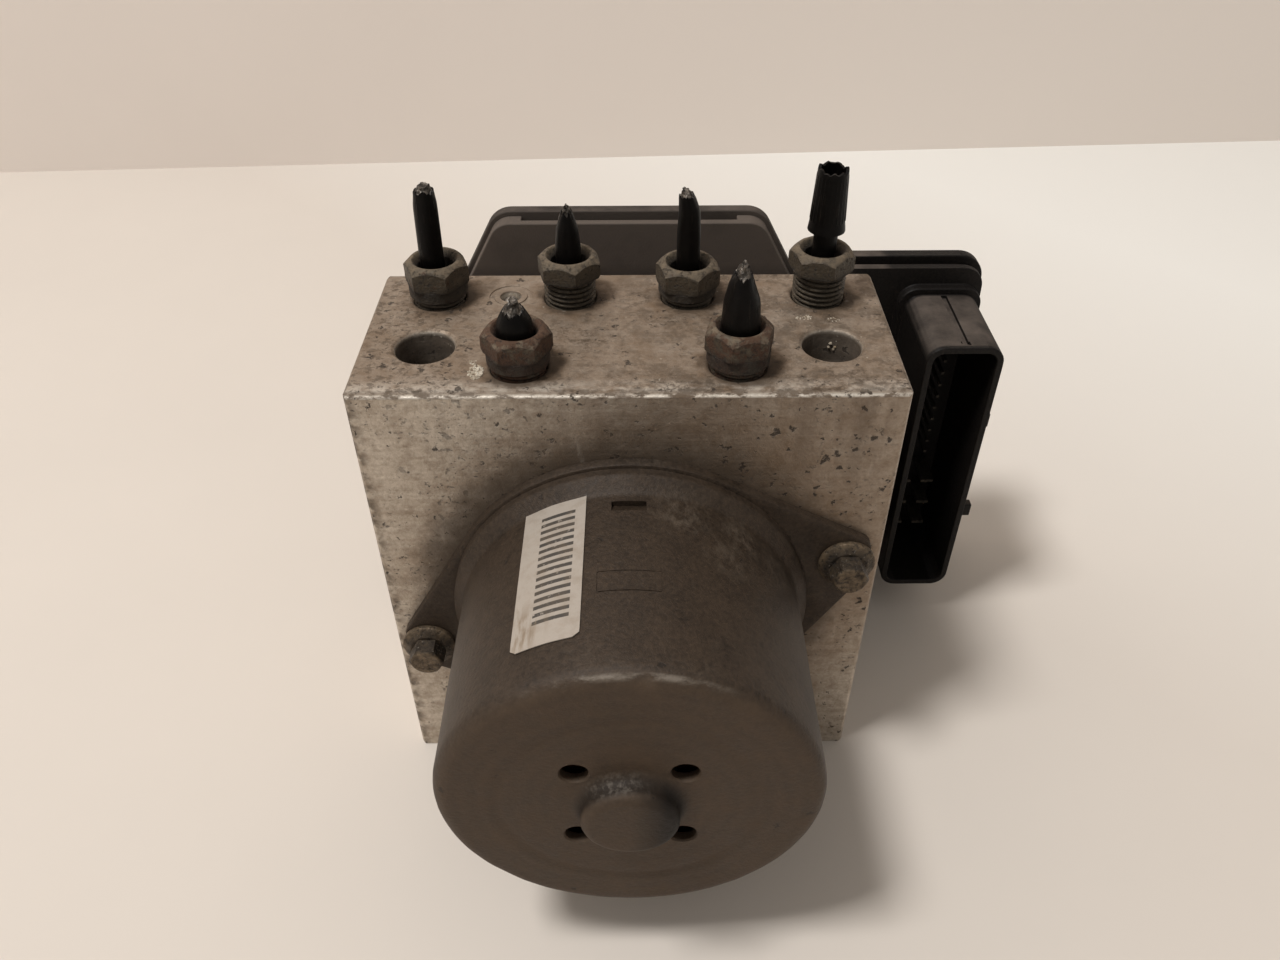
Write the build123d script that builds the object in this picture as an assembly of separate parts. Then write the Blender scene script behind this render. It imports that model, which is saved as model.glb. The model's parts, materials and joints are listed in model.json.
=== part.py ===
from build123d import *
import os
from math import cos, radians, sin, sqrt

# ABS brake hydraulic unit: an aluminium valve block with a pump motor on its front face, six pipe
# ports on top and an electronic control unit on its back face.
# Millimetres. X right, Y from the motor towards the control unit, Z up.
# The origin is the centre of the block's bottom face, on which the unit stands.

# ---- valve block -------------------------------------------------------------------------
BLOCK_X = 97.0
BLOCK_Y = 41.2
BLOCK_Z = 98.7
FRONT = -BLOCK_Y / 2
BACK = BLOCK_Y / 2
SIDE = BLOCK_X / 2
EDGE_BREAK = 0.5
FRONT_TOP_CHAMFER = 1.1

PRESS_GAP = 0.02  # radial gap drawn round pressed and staked pieces
RUN_GAP = 0.05  # radial clearance of running and sliding pieces

MOUNT_HOLE_X = 36.8
MOUNT_HOLE_Y = -5.6
MOUNT_HOLE_R = 5.35
MOUNT_HOLE_DEPTH = 16.0
MOUNT_HOLE_SINK = 0.6  # countersink, both in radius and in depth

THREAD_R = 5.0  # M10 x 1 pipe ports
PORT_DEPTH = 14.7
PORT_SINK = 0.4
PORT_POINT = 2.0  # height of the drill point under a port
REAR_PORT_Y = 12.0
FRONT_PORT_Y = -12.3
OUTER_PORT_X = 36.6
INNER_PORT_X = 11.3
FRONT_PORT_X = 19.2
GALLERY_R = 1.25
GALLERY_Y = 7.0
GALLERY_Z = (22.5, 58.5)
GALLERY_START_X = 8.0
BALL_R = 2.0
BALL_SEAT = 4.4
BALL_SINK = 0.3  # how far a ball sits below its face
TOP_BALL = (-22.9, 12.3)
STAKE_RING_R = (3.2, 4.1)
STAKE_RING_DEPTH = 0.25

# ---- pipe nuts: hex, optional round collar, thread ---------------------------------------
NUT_FLATS = 11.0
NUT_CHAMFER = 1.45
NUT_BORE_R = 3.45
NUT_CONE_R = 4.3
NUT_CONE_DEPTH = 1.3
NUT_FOOT_CHAMFER = (0.3, 0.4)  # radius, height
NUT_THREAD_LENGTH = 10.0
COLLAR_R = 5.6
COLLAR_GAP = 1.3  # thread that shows between a collar and the block
# port x, port y, top of the hex, bottom of the hex, round collar below it, turn of the hex
PORTS = {
    "rear_left": (-OUTER_PORT_X, REAR_PORT_Y, 107.0, 102.4, True, -5),
    "rear_mid_left": (-INNER_PORT_X, REAR_PORT_Y, 107.8, 103.8, False, -16),
    "rear_mid_right": (INNER_PORT_X, REAR_PORT_Y, 106.3, 101.7, True, -14),
    "rear_right": (OUTER_PORT_X, REAR_PORT_Y, 108.9, 104.8, False, -15),
    "front_left": (-FRONT_PORT_X, FRONT_PORT_Y, 106.5, 102.3, True, 4),
    "front_right": (FRONT_PORT_X, FRONT_PORT_Y, 107.0, 102.6, True, 14),
}

# ---- pump and motor axis ------------------------------------------------------------------
AXIS_Z = 49.0
CAVITY_R = 13.0
CAVITY_END = 1.0
PUMP_Y = -7.0
ECCENTRICITY = 1.0
JOURNAL_R = 6.3
NEEDLE_R = 1.2
NEEDLES = 14
CUP_R = 10.0
CUP_WALL = 1.2
CUP_WIDTH = 9.0
NEEDLE_END_GAP = 0.8
PISTON_R = 3.2
PISTON_TIP = CUP_R + ECCENTRICITY + 0.1
PISTON_LENGTH = 17.0
PISTON_NOSE = 0.8
PUMP_BORE_R = 6.5
PUMP_SLEEVE = (13.4, 33.0)  # distance out from the motor axis
PUMP_SPRING_R = 2.6
PUMP_SPRING_WIRE = 0.35
PUMP_SPRING_TURNS = 7
SPRING_SEAT_R = 4.4
SPRING_SEAT = (26.0, 26.5)
PUMP_PLUG_LENGTH = 7.0
PLUG_SINK = 0.2
PLUG_SOCKET_R = 3.0
PLUG_SOCKET_DEPTH = 3.0

# ---- accumulators, bored up from the bottom face ------------------------------------------
ACCUMULATOR_X = 22.0
ACCUMULATOR_Y = -4.0
ACCUMULATOR_R = 9.5
ACCUMULATOR_DEPTH = 26.0
ACCUMULATOR_PISTON_LENGTH = 8.0
PISTON_TOP = ACCUMULATOR_DEPTH - 0.4
PISTON_LAND = 1.0
SEAL_WIDTH = 1.8
PISTON_CUP_R = 7.4
PISTON_CROWN = 3.6
CAP_THICKNESS = 3.0
CAP_RECESS = 0.3
CAP_DISH = 0.8
SEAL_ROOT_R = 8.1
ACCUMULATOR_SPRING_R = 6.2
ACCUMULATOR_SPRING_WIRE = 0.6
ACCUMULATOR_SPRING_TURNS = 5

# ---- solenoid valves, in two rows on the back face ----------------------------------------
VALVE_X = (-33.0, -11.0, 11.0, 33.0)
OUTLET_ROW_Z = 27.0
INLET_ROW_Z = 53.0
VALVE_R = 5.5
VALVE_DEPTH = 14.0
DOME_R = 3.9
DOME_LENGTH = 17.5
CARTRIDGE_STEPS = ((2.2, 0.4, 5.0), (1.2, 5.0, 9.0))  # radius taken off, start, end from the seat
DOME_ROUND = 1.6
OUTLET_DOME_R = DOME_R - 0.3
COIL_R = 8.5
COIL_LENGTH = 19.5
COIL_GAP = 0.3  # between the coil and the tub's front edge
COIL_PIN_X = 2.0
COIL_PIN_Z = 6.0
COIL_PIN_R = 0.4
PIN_SHORT = 0.1  # pins end this far before the board

# ---- motor ---------------------------------------------------------------------------------
CAN_R = 32.7
CAN_WALL = 1.7
CAN_END = -67.8
CAN_END_ROUND = 2.8
SHOULDER_R = 34.8
SHOULDER_Y = -24.6
FLANGE_R = 35.5
FLANGE_THICKNESS = 2.0
EAR_CORNERS = ((43.4, 14.6), (43.7, 8.8))  # X and rise of the two round corners of an ear
EAR_ROUND = 2.5
HUB_R = 8.2
HUB_HEIGHT = 4.4
HUB_ROUND = 1.8
HUB_ROOT_ROUND = 2.2
VENT_R = 2.3
VENT_OFFSET = 8.9
END_RING_R = 22.0
END_RING_WIDTH = 1.2
END_RING_DEPTH = 0.25
LANCE_Y = (-31.3, -28.9)
LANCE_HALF = 3.05
BOLT_R = 3.0
BOLT_THREAD = 12.0
BOLT_WASHER_R = 5.4
BOLT_NECK_R = 3.75
BOLT_WASHER = 2.0
BOLT_HEAD_APOTHEM = 3.1
BOLT_HEAD_TOP = 5.6
BOLT_X = 41.5
BOLT_RISE = 11.4  # the right bolt sits this far above the motor axis, the left one below it
MAGNET_R = 30.9
MAGNET_INNER_R = 25.3
MAGNET_Y = (-63.0, -35.0)
MAGNET_SPAN = 62.0  # half angle of one magnet, degrees
ARMATURE_R = 24.6
ARMATURE = (-61.0, -37.0)
SLOTS = 12
SLOT_R = (11.0, 23.0)
SLOT_WIDTH = 3.6
SLOT_MOUTH = 1.4
WINDING_R = (11.1, 22.8)
WINDING_WIDTH = 3.4
WINDING_END = 3.2
SHAFT_R = 4.0
TAIL_R = 3.0
TAIL_STEP = -64.0
COMMUTATOR_R = 10.0
COMMUTATOR = (-33.0, -24.8)
COMMUTATOR_SLOT = (0.5, 0.8)  # width, depth
BRUSH_Y = -29.4
BRUSH_SIZE = (9.0, 5.6, 5.0)
TERMINAL_Z = 70.0
TERMINAL_R = 3.6
PIN_X = (-1.6, 1.6)
MOTOR_PIN_R = 0.7
BRUSH_PLATE = (-25.2, -23.2)
BRUSH_PLATE_HOLE_R = 3.5
BRUSH_PLATE_HOLES_AT = 22.0
BRUSH_BOX = (12.0, 26.0)
BRUSH_BOX_WALL = 0.8
BRUSH_SPRING_R = 1.8
BRUSH_SPRING_WIRE = 0.25
BRUSH_SPRING_TURNS = 6
BRUSH_SPRING_GAP = 0.35
JOURNAL = (-11.8, -2.2)
LABEL_SPAN = (103.1, 124.0)  # degrees from +X towards +Z
LABEL_Y = (-59.1, -25.6)
LABEL_THICKNESS = 0.15
LABEL_ROUND = 1.1
GASKET_R = 30.4
GASKET_WIDTH = 4.0
PLATE_FRONT = -21.3  # face of the bearing plate towards the block
PLATE_THICKNESS = 1.6
PLATE_LIP = 1.2
BUSH_LENGTH = 5.0
BEARING_R = 11.0
BEARING = (-21.2, -15.2)
BEARING_RING_R = (6.1, 8.9)  # outside of the inner ring, inside of the outer ring
SHIELD_R = (6.4, 9.2)
SHIELD_THICKNESS = 0.3
BALL_TRACK_R = 7.5
BEARING_BALL_R = 1.7
BEARING_BALLS = 7

# ---- control unit --------------------------------------------------------------------------
SEAL_THICKNESS = 0.6
TUB_FRONT = BACK + SEAL_THICKNESS
TRAY_FRONT = 45.6
GROOVE_FRONT = 47.6
LID_FRONT = 49.8
LID_BACK = 53.0
TUB_HALF_WIDTH = 47.6
TUB_BOTTOM = 4.0
TUB_TOP = 77.0
WALL = 2.2
UNIT_BOTTOM = 4.0
UNIT_RIGHT = 82.4
SHOULDER_TOP = 87.5
HUMP_TOP = 98.8
HUMP_HALF = 30.0
NOTCH_Z = 81.0
SHELL_X = (63.6, 80.3)
SHELL_Z = (9.7, 81.0)
SHELL_MOUTH = 20.4
SHELL_WALL = 1.5
SHELL_ROUND = 3.9
SHELL_FLOOR = 43.4
SHELL_FOOT = (43.4, 1.4, 0.9, 4.3)  # start, growth, growth on the right, corner radius
SHELL_GROOVE_X = (71.3, 72.6)
SHELL_GROOVE_Y = (22.4, 42.9)
SHELL_GROOVE_DEPTH = 0.8
# start and end in Y, start and end in Z, height over the shell's right wall
SHELL_PEGS = ((21.0, 23.2, 32.8, 36.2, 1.9), (20.9, 24.0, 59.8, 63.3, 0.4))
PIN_TIP = 34.0
SIGNAL_PIN_X = (69.4, 72.6)
SIGNAL_PIN_START = 42.5
SIGNAL_PIN_PITCH = 3.3
SIGNAL_PIN_ROWS = 10
SIGNAL_PIN_SIZE = (0.64, 0.64)
POWER_PIN_X = (69.2, 74.8)
POWER_PIN_Z = (19.0, 26.0, 33.0)
POWER_PIN_SIZE = (3.0, 0.8)
PIN_FIT = 0.04
HORN_X = (24.0, 40.5)  # the groove under the lid is filled between these on the hump
HORN_BOTTOM = NOTCH_Z + 1.5
SCREW_X = 43.3
SCREW_Z = (9.6, 71.5)
SCREW_R = 2.0
SCREW_THREAD = 8.5
SCREW_HEAD_R = (3.8, 3.2)
SCREW_HEAD_SINK = 0.2
SCREW_SOCKET_R = 1.6
BOSS_R = 4.2
TRAY_INSET = 1.0
RIM_INSET = 3.4
RIM_INNER_INSET = 5.2
BOARD_INSET = 5.6
BOARD = (47.8, 49.4)
LID_EDGE = 0.6
LID_FIELD_X = (-34.0, 36.0)
LID_FIELD_Z = (16.0, 64.0)
LID_FIELD_DEPTH = 0.5
LID_FIELD_ROUND = 3.0
LID_VENT = (66.0, 70.0)
LID_VENT_R = (4.6, 6.0)
LID_VENT_DEPTH = 0.7
LID_SLOT_X = (50.0, 76.0)
LID_SLOT_Z = (20.0, 28.0, 36.0, 44.0, 52.0)
LID_SLOT_HEIGHT = 3.0
SEAL_INSET = (0.3, 1.9)

DIRECTION = {"x": (1, 0, 0), "y": (0, 1, 0), "z": (0, 0, 1)}


# ---- shape helpers --------------------------------------------------------------------------
def place(axis, along, across):
    """A point at a distance along an axis, with its other two coordinates in X, Y, Z order."""
    a, b = across
    return {"x": (along, a, b), "y": (a, along, b), "z": (a, b, along)}[axis]


def rod(axis, radius, start, end, across=(0, 0)):
    """A cylinder along an axis from start to end."""
    plane = Plane(origin=place(axis, start, across), z_dir=DIRECTION[axis])
    return extrude(plane * Circle(radius), amount=end - start)


def tube(axis, outer, inner, start, end, across=(0, 0)):
    """A cylinder with a bore right through it."""
    return rod(axis, outer, start, end, across) - rod(axis, inner, start - 1, end + 1, across)


def turned(axis, profile, across=(0, 0), rounds=0.0):
    """A solid of revolution about an axis, from (radius, distance along the axis) points."""
    up = Vector(*DIRECTION[axis])
    out = Vector(0, 1, 0) if axis == "x" else Vector(1, 0, 0)
    plane = Plane(origin=place(axis, 0, across), x_dir=out, z_dir=out.cross(up))
    outline = FilletPolyline(*profile, radius=rounds, close=True)
    return revolve(plane * make_face(outline), axis=Axis(plane.origin, up))


def block(x, y, z):
    """A box between two limits on each axis."""
    size = [b - a for a, b in (x, y, z)]
    centre = [(a + b) / 2 for a, b in (x, y, z)]
    return Pos(*centre) * Box(*size)


def outline_prism(points, rounds, y0, y1, inset=0.0):
    """An X-Z outline with rounded corners, shrunk by an inset and drawn out from y0 to y1."""
    plane = Plane(origin=(0, y0, 0), x_dir=(1, 0, 0), z_dir=(0, -1, 0))
    face = make_face(FilletPolyline(*points, radius=rounds, close=True))
    if inset:
        face = offset(face, amount=-inset, kind=Kind.ARC)
    return extrude(plane * face, amount=y0 - y1)


def coil_spring(axis, mean_r, wire_r, start, end, turns, across=(0, 0)):
    """A helical compression spring."""
    reach = end - start
    path = Helix(
        pitch=abs(reach) / turns,
        height=abs(reach),
        radius=mean_r,
        center=place(axis, start, across),
        direction=Vector(*DIRECTION[axis]) * (1 if reach > 0 else -1),
    )
    section = Plane(origin=path @ 0, z_dir=path % 0) * Circle(wire_r)
    return sweep(section, path=path)


def both(make):
    """The left and right pieces of a pair, as a dict of side name to solid."""
    return {"left": make(-1), "right": make(1)}


# ---- valve block ----------------------------------------------------------------------------
def motor_bolt_points():
    return [(side * BOLT_X, AXIS_Z + side * BOLT_RISE) for side in (-1, 1)]


def screw_points():
    return [(side * SCREW_X, z) for side in (-1, 1) for z in SCREW_Z]


def valve_block():
    """Extruded aluminium block, bored for the pump, valves, accumulators, ports and galleries."""
    body = block((-SIDE, SIDE), (FRONT, BACK), (0, BLOCK_Z))
    top_front = body.edges().filter_by(Axis.X).group_by(Axis.Z)[-1].sort_by(Axis.Y)[0]
    body = chamfer(top_front, FRONT_TOP_CHAMFER)
    straight = body.edges().filter_by(Axis.Z) + body.edges().filter_by(Axis.Y)
    body = chamfer(straight.filter_by(lambda e: e.length > BLOCK_Y / 2), EDGE_BREAK)

    top = BLOCK_Z
    for x in (-MOUNT_HOLE_X, MOUNT_HOLE_X):
        at = (x, MOUNT_HOLE_Y)
        body -= rod("z", MOUNT_HOLE_R, top - MOUNT_HOLE_DEPTH, top + 1, at)
        sink = MOUNT_HOLE_SINK
        mouth = [(0, top - sink), (MOUNT_HOLE_R, top - sink), (MOUNT_HOLE_R + sink, top), (0, top)]
        body -= turned("z", mouth, at)
    for x, y, *_ in PORTS.values():
        port = [
            (0, top - PORT_DEPTH - PORT_POINT),
            (THREAD_R - 1.0, top - PORT_DEPTH),
            (THREAD_R, top - PORT_DEPTH + 1.0),
            (THREAD_R, top - PORT_SINK),
            (THREAD_R + PORT_SINK, top),
            (0, top),
        ]
        body -= turned("z", port, (x, y))

    # pump cavity, opposed pump bores and motor terminal bore
    body -= rod("y", CAVITY_R, FRONT - 1, CAVITY_END, (0, AXIS_Z))
    body -= rod("x", PUMP_BORE_R, -SIDE - 1, SIDE + 1, (PUMP_Y, AXIS_Z))
    body -= rod("y", TERMINAL_R, FRONT - 1, BACK + 1, (0, TERMINAL_Z))

    for side in (-1, 1):
        x = side * ACCUMULATOR_X
        body -= rod("z", ACCUMULATOR_R, -1, ACCUMULATOR_DEPTH, (x, ACCUMULATOR_Y))
        body -= rod("z", GALLERY_R, ACCUMULATOR_DEPTH - 1, AXIS_Z - 3, (x, PUMP_Y))
    for x in VALVE_X:
        for z in (OUTLET_ROW_Z, INLET_ROW_Z):
            body -= rod("y", VALVE_R, BACK - VALVE_DEPTH, BACK + 1, (x, z))

    # galleries: down from the ports, across between the valves, in from the back
    for x in (-OUTER_PORT_X, -INNER_PORT_X, INNER_PORT_X, OUTER_PORT_X):
        body -= rod("z", GALLERY_R, OUTLET_ROW_Z, top - PORT_DEPTH, (x, REAR_PORT_Y))
    for side in (-1, 1):
        x = side * FRONT_PORT_X
        body -= rod("z", GALLERY_R, AXIS_Z, top - PORT_DEPTH, (x, FRONT_PORT_Y))
        body -= rod("y", GALLERY_R, FRONT_PORT_Y, BACK + 1, (x, GALLERY_Z[1]))
        for z in GALLERY_Z:
            start, end = side * GALLERY_START_X, side * (SIDE + 1)
            body -= rod("x", GALLERY_R, start, end, (GALLERY_Y, z))
    for axis, face, along, across in ball_seats():
        body -= rod(axis, BALL_R + PRESS_GAP, face - along * BALL_SEAT, face + along, across)

    for x, z in motor_bolt_points():
        body -= rod("y", BOLT_R + PRESS_GAP, FRONT - 1, FRONT + BOLT_THREAD, (x, z))
    for x, z in screw_points():
        body -= rod("y", SCREW_R + PRESS_GAP, BACK - SCREW_THREAD, BACK + 1, (x, z))
    inner, outer = STAKE_RING_R
    return body - tube("z", outer, inner, top - STAKE_RING_DEPTH, top + 1, TOP_BALL)


def ball_seats():
    """Where drillings are closed: axis, face coordinate, outward sign, other two coordinates."""
    seats = [("z", BLOCK_Z, 1, TOP_BALL)]
    for side in (-1, 1):
        seats += [("x", side * SIDE, side, (GALLERY_Y, z)) for z in GALLERY_Z]
        seats.append(("y", BACK, 1, (side * FRONT_PORT_X, GALLERY_Z[1])))
    return seats


def gallery_balls():
    """Hardened balls pressed into the ends of the drillings."""
    return [
        Pos(*place(axis, face - outward * (BALL_R + BALL_SINK), across)) * Sphere(BALL_R)
        for axis, face, outward, across in ball_seats()
    ]


# ---- pipe nuts and cut pipes ----------------------------------------------------------------
def pipe_nut(x, y, top, hex_bottom, collared, turn):
    """A flare nut: chamfered hex with a conical mouth, round collar if it has one, thread below."""
    hexagon = RegularPolygon(NUT_FLATS / 2, 6, major_radius=False, rotation=turn)
    nut = extrude(Plane(origin=(x, y, hex_bottom)) * hexagon, amount=top - hex_bottom)
    corner_r = NUT_FLATS / sqrt(3)
    foot_inset, foot_height = NUT_FOOT_CHAMFER
    barrel = [
        (0, hex_bottom),
        (corner_r - foot_inset, hex_bottom),
        (corner_r, hex_bottom + foot_height),
        (corner_r, top - NUT_CHAMFER),
        (corner_r - NUT_CHAMFER, top),
        (0, top),
    ]
    nut &= turned("z", barrel, (x, y))
    if collared:
        nut += rod("z", COLLAR_R, BLOCK_Z + COLLAR_GAP, hex_bottom, (x, y))
    thread_bottom = BLOCK_Z - NUT_THREAD_LENGTH
    nut += rod("z", THREAD_R - PRESS_GAP, thread_bottom, hex_bottom, (x, y))
    bore = [
        (0, thread_bottom - 1),
        (NUT_BORE_R, thread_bottom - 1),
        (NUT_BORE_R, top - NUT_CONE_DEPTH),
        (NUT_CONE_R, top),
        (NUT_CONE_R, top + 1),
        (0, top + 1),
    ]
    return nut - turned("z", bore, (x, y))


def pipe_nuts(collared):
    return [pipe_nut(*port) for port in PORTS.values() if port[4] == collared]


def cut_pipe(x, y, sections):
    """A pipe stub lofted through ellipses: height, radius in X, radius in Y, shift in X."""
    rings = [
        Plane(origin=(x + shift, y, z)) * Ellipse(rx, ry) for z, rx, ry, shift in sections
    ]
    solids = [loft([low, high]) for low, high in zip(rings, rings[1:])]
    stub = solids[0]
    for piece in solids[1:]:
        stub += piece
    return stub


PIPE_FOOT = BLOCK_Z - 8.0
# height, half width in X, half width in Y, sideways shift
PIPES = {
    "rear_left": [
        (PIPE_FOOT, 2.3, 2.3, 0.0),
        (107.4, 2.3, 2.3, -0.5),
        (117.7, 2.2, 2.3, -0.3),
        (120.4, 1.9, 2.1, -0.2),
        (121.5, 1.2, 1.9, -0.1),
    ],
    "rear_mid_left": [
        (PIPE_FOOT, 2.45, 2.45, 0.0),
        (109.0, 2.45, 2.45, 0.0),
        (113.0, 2.05, 2.4, 0.0),
        (115.6, 1.35, 2.1, 0.0),
        (117.5, 0.6, 1.4, 0.0),
    ],
    "rear_mid_right": [
        (PIPE_FOOT, 2.25, 2.25, 0.0),
        (112.0, 2.2, 2.25, 0.0),
        (116.5, 2.0, 2.3, 0.0),
        (119.5, 1.45, 2.2, -0.6),
        (120.3, 1.1, 1.9, -0.7),
    ],
    "front_left": [
        (PIPE_FOOT, 3.35, 3.35, 0.0),
        (106.2, 3.3, 3.3, -0.1),
        (108.2, 2.9, 3.1, -0.1),
        (109.7, 2.0, 2.7, -0.2),
        (111.8, 1.2, 1.7, -0.1),
    ],
    "front_right": [
        (PIPE_FOOT, 3.35, 3.35, 0.0),
        (107.4, 3.35, 3.35, 0.0),
        (111.6, 3.1, 3.35, 0.0),
        (115.0, 2.1, 3.0, -0.2),
        (118.4, 0.9, 1.8, 0.0),
    ],
}
SLEEVE = [(112.6, 3.5, 3.5, 0.15), (114.0, 3.45, 3.45, 0.15), (124.5, 2.8, 3.3, 0.15)]
SLEEVED_PIPE = [
    (PIPE_FOOT, 2.25, 2.25, 0.0),
    (110.8, 2.25, 2.25, 0.2),
    (118.0, 2.2, 2.2, 0.15),
]


def sleeved_pipe(x, y):
    """The stub with a ribbed outer sleeve, pulled back from the nut and torn open at its end."""
    sleeve = cut_pipe(x, y, SLEEVE)
    mouth_bottom = SLEEVED_PIPE[-1][0]
    hollow = cut_pipe(x, y, [(mouth_bottom, 2.2, 2.5, 0.15), (SLEEVE[-1][0] + 1, 2.0, 2.4, 0.15)])
    return cut_pipe(x, y, SLEEVED_PIPE) + (sleeve - hollow)


# ---- motor ----------------------------------------------------------------------------------
def flange_outline():
    """The can's flange with its two diagonal ears, as a face in the X-Z plane at y = 0."""
    arcs = [CenterArc((0, AXIS_Z), FLANGE_R, 0, 360)]
    for side in (-1, 1):
        for x, rise in EAR_CORNERS:
            arcs.append(CenterArc((side * x, AXIS_Z + side * rise), EAR_ROUND, 0, 360))
    plane = Plane(origin=(0, 0, 0), x_dir=(1, 0, 0), z_dir=(0, -1, 0))
    return plane * make_face(make_hull(Curve(arcs).edges()))


def motor_can():
    """Deep-drawn steel can: flange and ears, shoulder, closed end with a hub and four vents."""
    inner_r = CAN_R - CAN_WALL
    end_inside = CAN_END + CAN_WALL
    hub_end = CAN_END - HUB_HEIGHT
    outside = [
        (0, FRONT),
        (SHOULDER_R, FRONT),
        (SHOULDER_R, SHOULDER_Y),
        (CAN_R, SHOULDER_Y - 0.6),
        (CAN_R, CAN_END),
        (HUB_R, CAN_END),
        (HUB_R, hub_end),
        (0, hub_end),
    ]
    rounds = [0, 0, 1.0, 0.3, CAN_END_ROUND, HUB_ROOT_ROUND, HUB_ROUND, 0]
    can = turned("y", outside, (0, AXIS_Z), rounds)
    can += extrude(Pos(0, FRONT, 0) * flange_outline(), amount=FLANGE_THICKNESS)
    hollow = [
        (0, FRONT + 1),
        (inner_r, FRONT + 1),
        (inner_r, end_inside),
        (HUB_R - CAN_WALL, end_inside),
        (HUB_R - CAN_WALL, hub_end + CAN_WALL),
        (0, hub_end + CAN_WALL),
    ]
    can -= turned("y", hollow, (0, AXIS_Z), [0, 0, 1.5, 0, 0, 0])
    for dx in (-VENT_OFFSET, VENT_OFFSET):
        for dz in (-VENT_OFFSET, VENT_OFFSET):
            can -= rod("y", VENT_R, CAN_END - 1, end_inside + 1, (dx, AXIS_Z + dz))
    ring_outer, ring_inner = END_RING_R + END_RING_WIDTH / 2, END_RING_R - END_RING_WIDTH / 2
    can -= tube("y", ring_outer, ring_inner, CAN_END - 1, CAN_END + END_RING_DEPTH, (0, AXIS_Z))
    for x, z in motor_bolt_points():
        can -= rod("y", BOLT_R + 0.3, FRONT - 5, FRONT + 1, (x, z))
    return can - lance()


def lance():
    """The wedge-shaped cut where a tab of the can's crown is pushed in."""
    back, front = LANCE_Y
    crown = AXIS_Z + CAN_R
    side_view = [(back, crown + 1), (back, crown - 0.1), (front, crown - 1.2), (front, crown + 1)]
    plane = Plane(origin=(-LANCE_HALF, 0, 0), x_dir=(0, 1, 0), z_dir=(1, 0, 0))
    return extrude(plane * make_face(Polyline(*side_view, close=True)), amount=2 * LANCE_HALF)


def motor_gasket():
    """Flat ring gasket that seals the bearing plate against the block."""
    inner = GASKET_R - GASKET_WIDTH
    return tube("y", GASKET_R, inner, PLATE_FRONT, FRONT - PRESS_GAP, (0, AXIS_Z))


def motor_bolt(x, z):
    """Flanged bolt: a wide washer face, a waisted neck and a small hexagon head."""
    seat = FRONT - FLANGE_THICKNESS
    neck = seat - BOLT_WASHER
    top = seat - BOLT_HEAD_TOP
    washer = [
        (0, seat), (BOLT_WASHER_R, seat), (BOLT_WASHER_R, seat - 0.9), (BOLT_NECK_R, neck), (0, neck)
    ]
    bolt = turned("y", washer, (x, z), [0, 0, 0.3, 0.3, 0])
    hexagon = RegularPolygon(BOLT_HEAD_APOTHEM, 6, major_radius=False)
    head_plane = Plane(origin=(x, neck + 0.5, z), x_dir=(1, 0, 0), z_dir=(0, -1, 0))
    head = extrude(head_plane * hexagon, amount=neck + 0.5 - top)
    dome = [
        (0, seat), (BOLT_NECK_R, seat), (BOLT_NECK_R, top + 0.8), (BOLT_NECK_R - 0.9, top), (0, top)
    ]
    bolt += head & turned("y", dome, (x, z))
    return bolt + rod("y", BOLT_R, seat, FRONT + BOLT_THREAD - 1, (x, z))


def motor_bolts():
    return [motor_bolt(x, z) for x, z in motor_bolt_points()]


def sector(start_angle, end_angle, y0, y1):
    """A wedge about the motor axis between two angles, in degrees from +X towards +Z."""
    reach = 2 * CAN_R
    middle = (start_angle + end_angle) / 2
    rays = [radians(angle) for angle in (start_angle, middle, end_angle)]
    corners = [(0, 0)] + [(reach * cos(a), reach * sin(a)) for a in rays]
    plane = Plane(origin=(0, y0, AXIS_Z), x_dir=(1, 0, 0), z_dir=(0, -1, 0))
    return extrude(plane * make_face(Polyline(*corners, close=True)), amount=y0 - y1)


def magnet(middle):
    """One ferrite arc magnet, bonded inside the can, about the angle of its middle."""
    arc = tube("y", MAGNET_R, MAGNET_INNER_R, *MAGNET_Y, (0, AXIS_Z))
    return arc & sector(middle - MAGNET_SPAN, middle + MAGNET_SPAN, MAGNET_Y[0] - 1, MAGNET_Y[1] + 1)


def bearing_plate():
    """Steel plate closing the can's mouth, with the boss that carries the front bearing."""
    back = PLATE_FRONT - PLATE_THICKNESS
    rim_r = CAN_R - CAN_WALL - 0.1
    boss_r = CAVITY_R - RUN_GAP
    seat_r = BEARING_R + PRESS_GAP
    lip_r = BEARING_R - PLATE_THICKNESS
    seat = BEARING[1] + PRESS_GAP
    lip = BEARING[1] + PLATE_LIP
    profile = [
        (seat_r, back), (rim_r, back), (rim_r, PLATE_FRONT), (boss_r, PLATE_FRONT),
        (boss_r, lip), (lip_r, lip), (lip_r, seat), (seat_r, seat),
    ]
    plate = turned("y", profile, (0, AXIS_Z))
    return plate - rod("y", TERMINAL_R + 0.3, PLATE_FRONT - 3, FRONT, (0, TERMINAL_Z))


def ball_groove():
    centre_y = sum(BEARING) / 2
    plane = Plane(origin=(0, centre_y, AXIS_Z), z_dir=(0, 1, 0))
    return plane * Torus(BALL_TRACK_R, BEARING_BALL_R + 0.03)


def front_bearing_outer():
    """Outer ring of the deep-groove bearing, with its two shields."""
    ring = tube("y", BEARING_R, BEARING_RING_R[1], *BEARING, (0, AXIS_Z)) - ball_groove()
    inner, outer = SHIELD_R
    for start in (BEARING[0] + 0.2, BEARING[1] - 0.5):
        ring += tube("y", outer, inner, start, start + SHIELD_THICKNESS, (0, AXIS_Z))
    return ring


def front_bearing_inner():
    ring = tube("y", BEARING_RING_R[0], SHAFT_R + PRESS_GAP, *BEARING, (0, AXIS_Z))
    return ring - ball_groove()


def around(count, radius, centre_z):
    """X and Z of points spaced evenly on a circle about the Y direction."""
    angles = [radians(360 * i / count) for i in range(count)]
    return [(radius * cos(angle), centre_z + radius * sin(angle)) for angle in angles]


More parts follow.
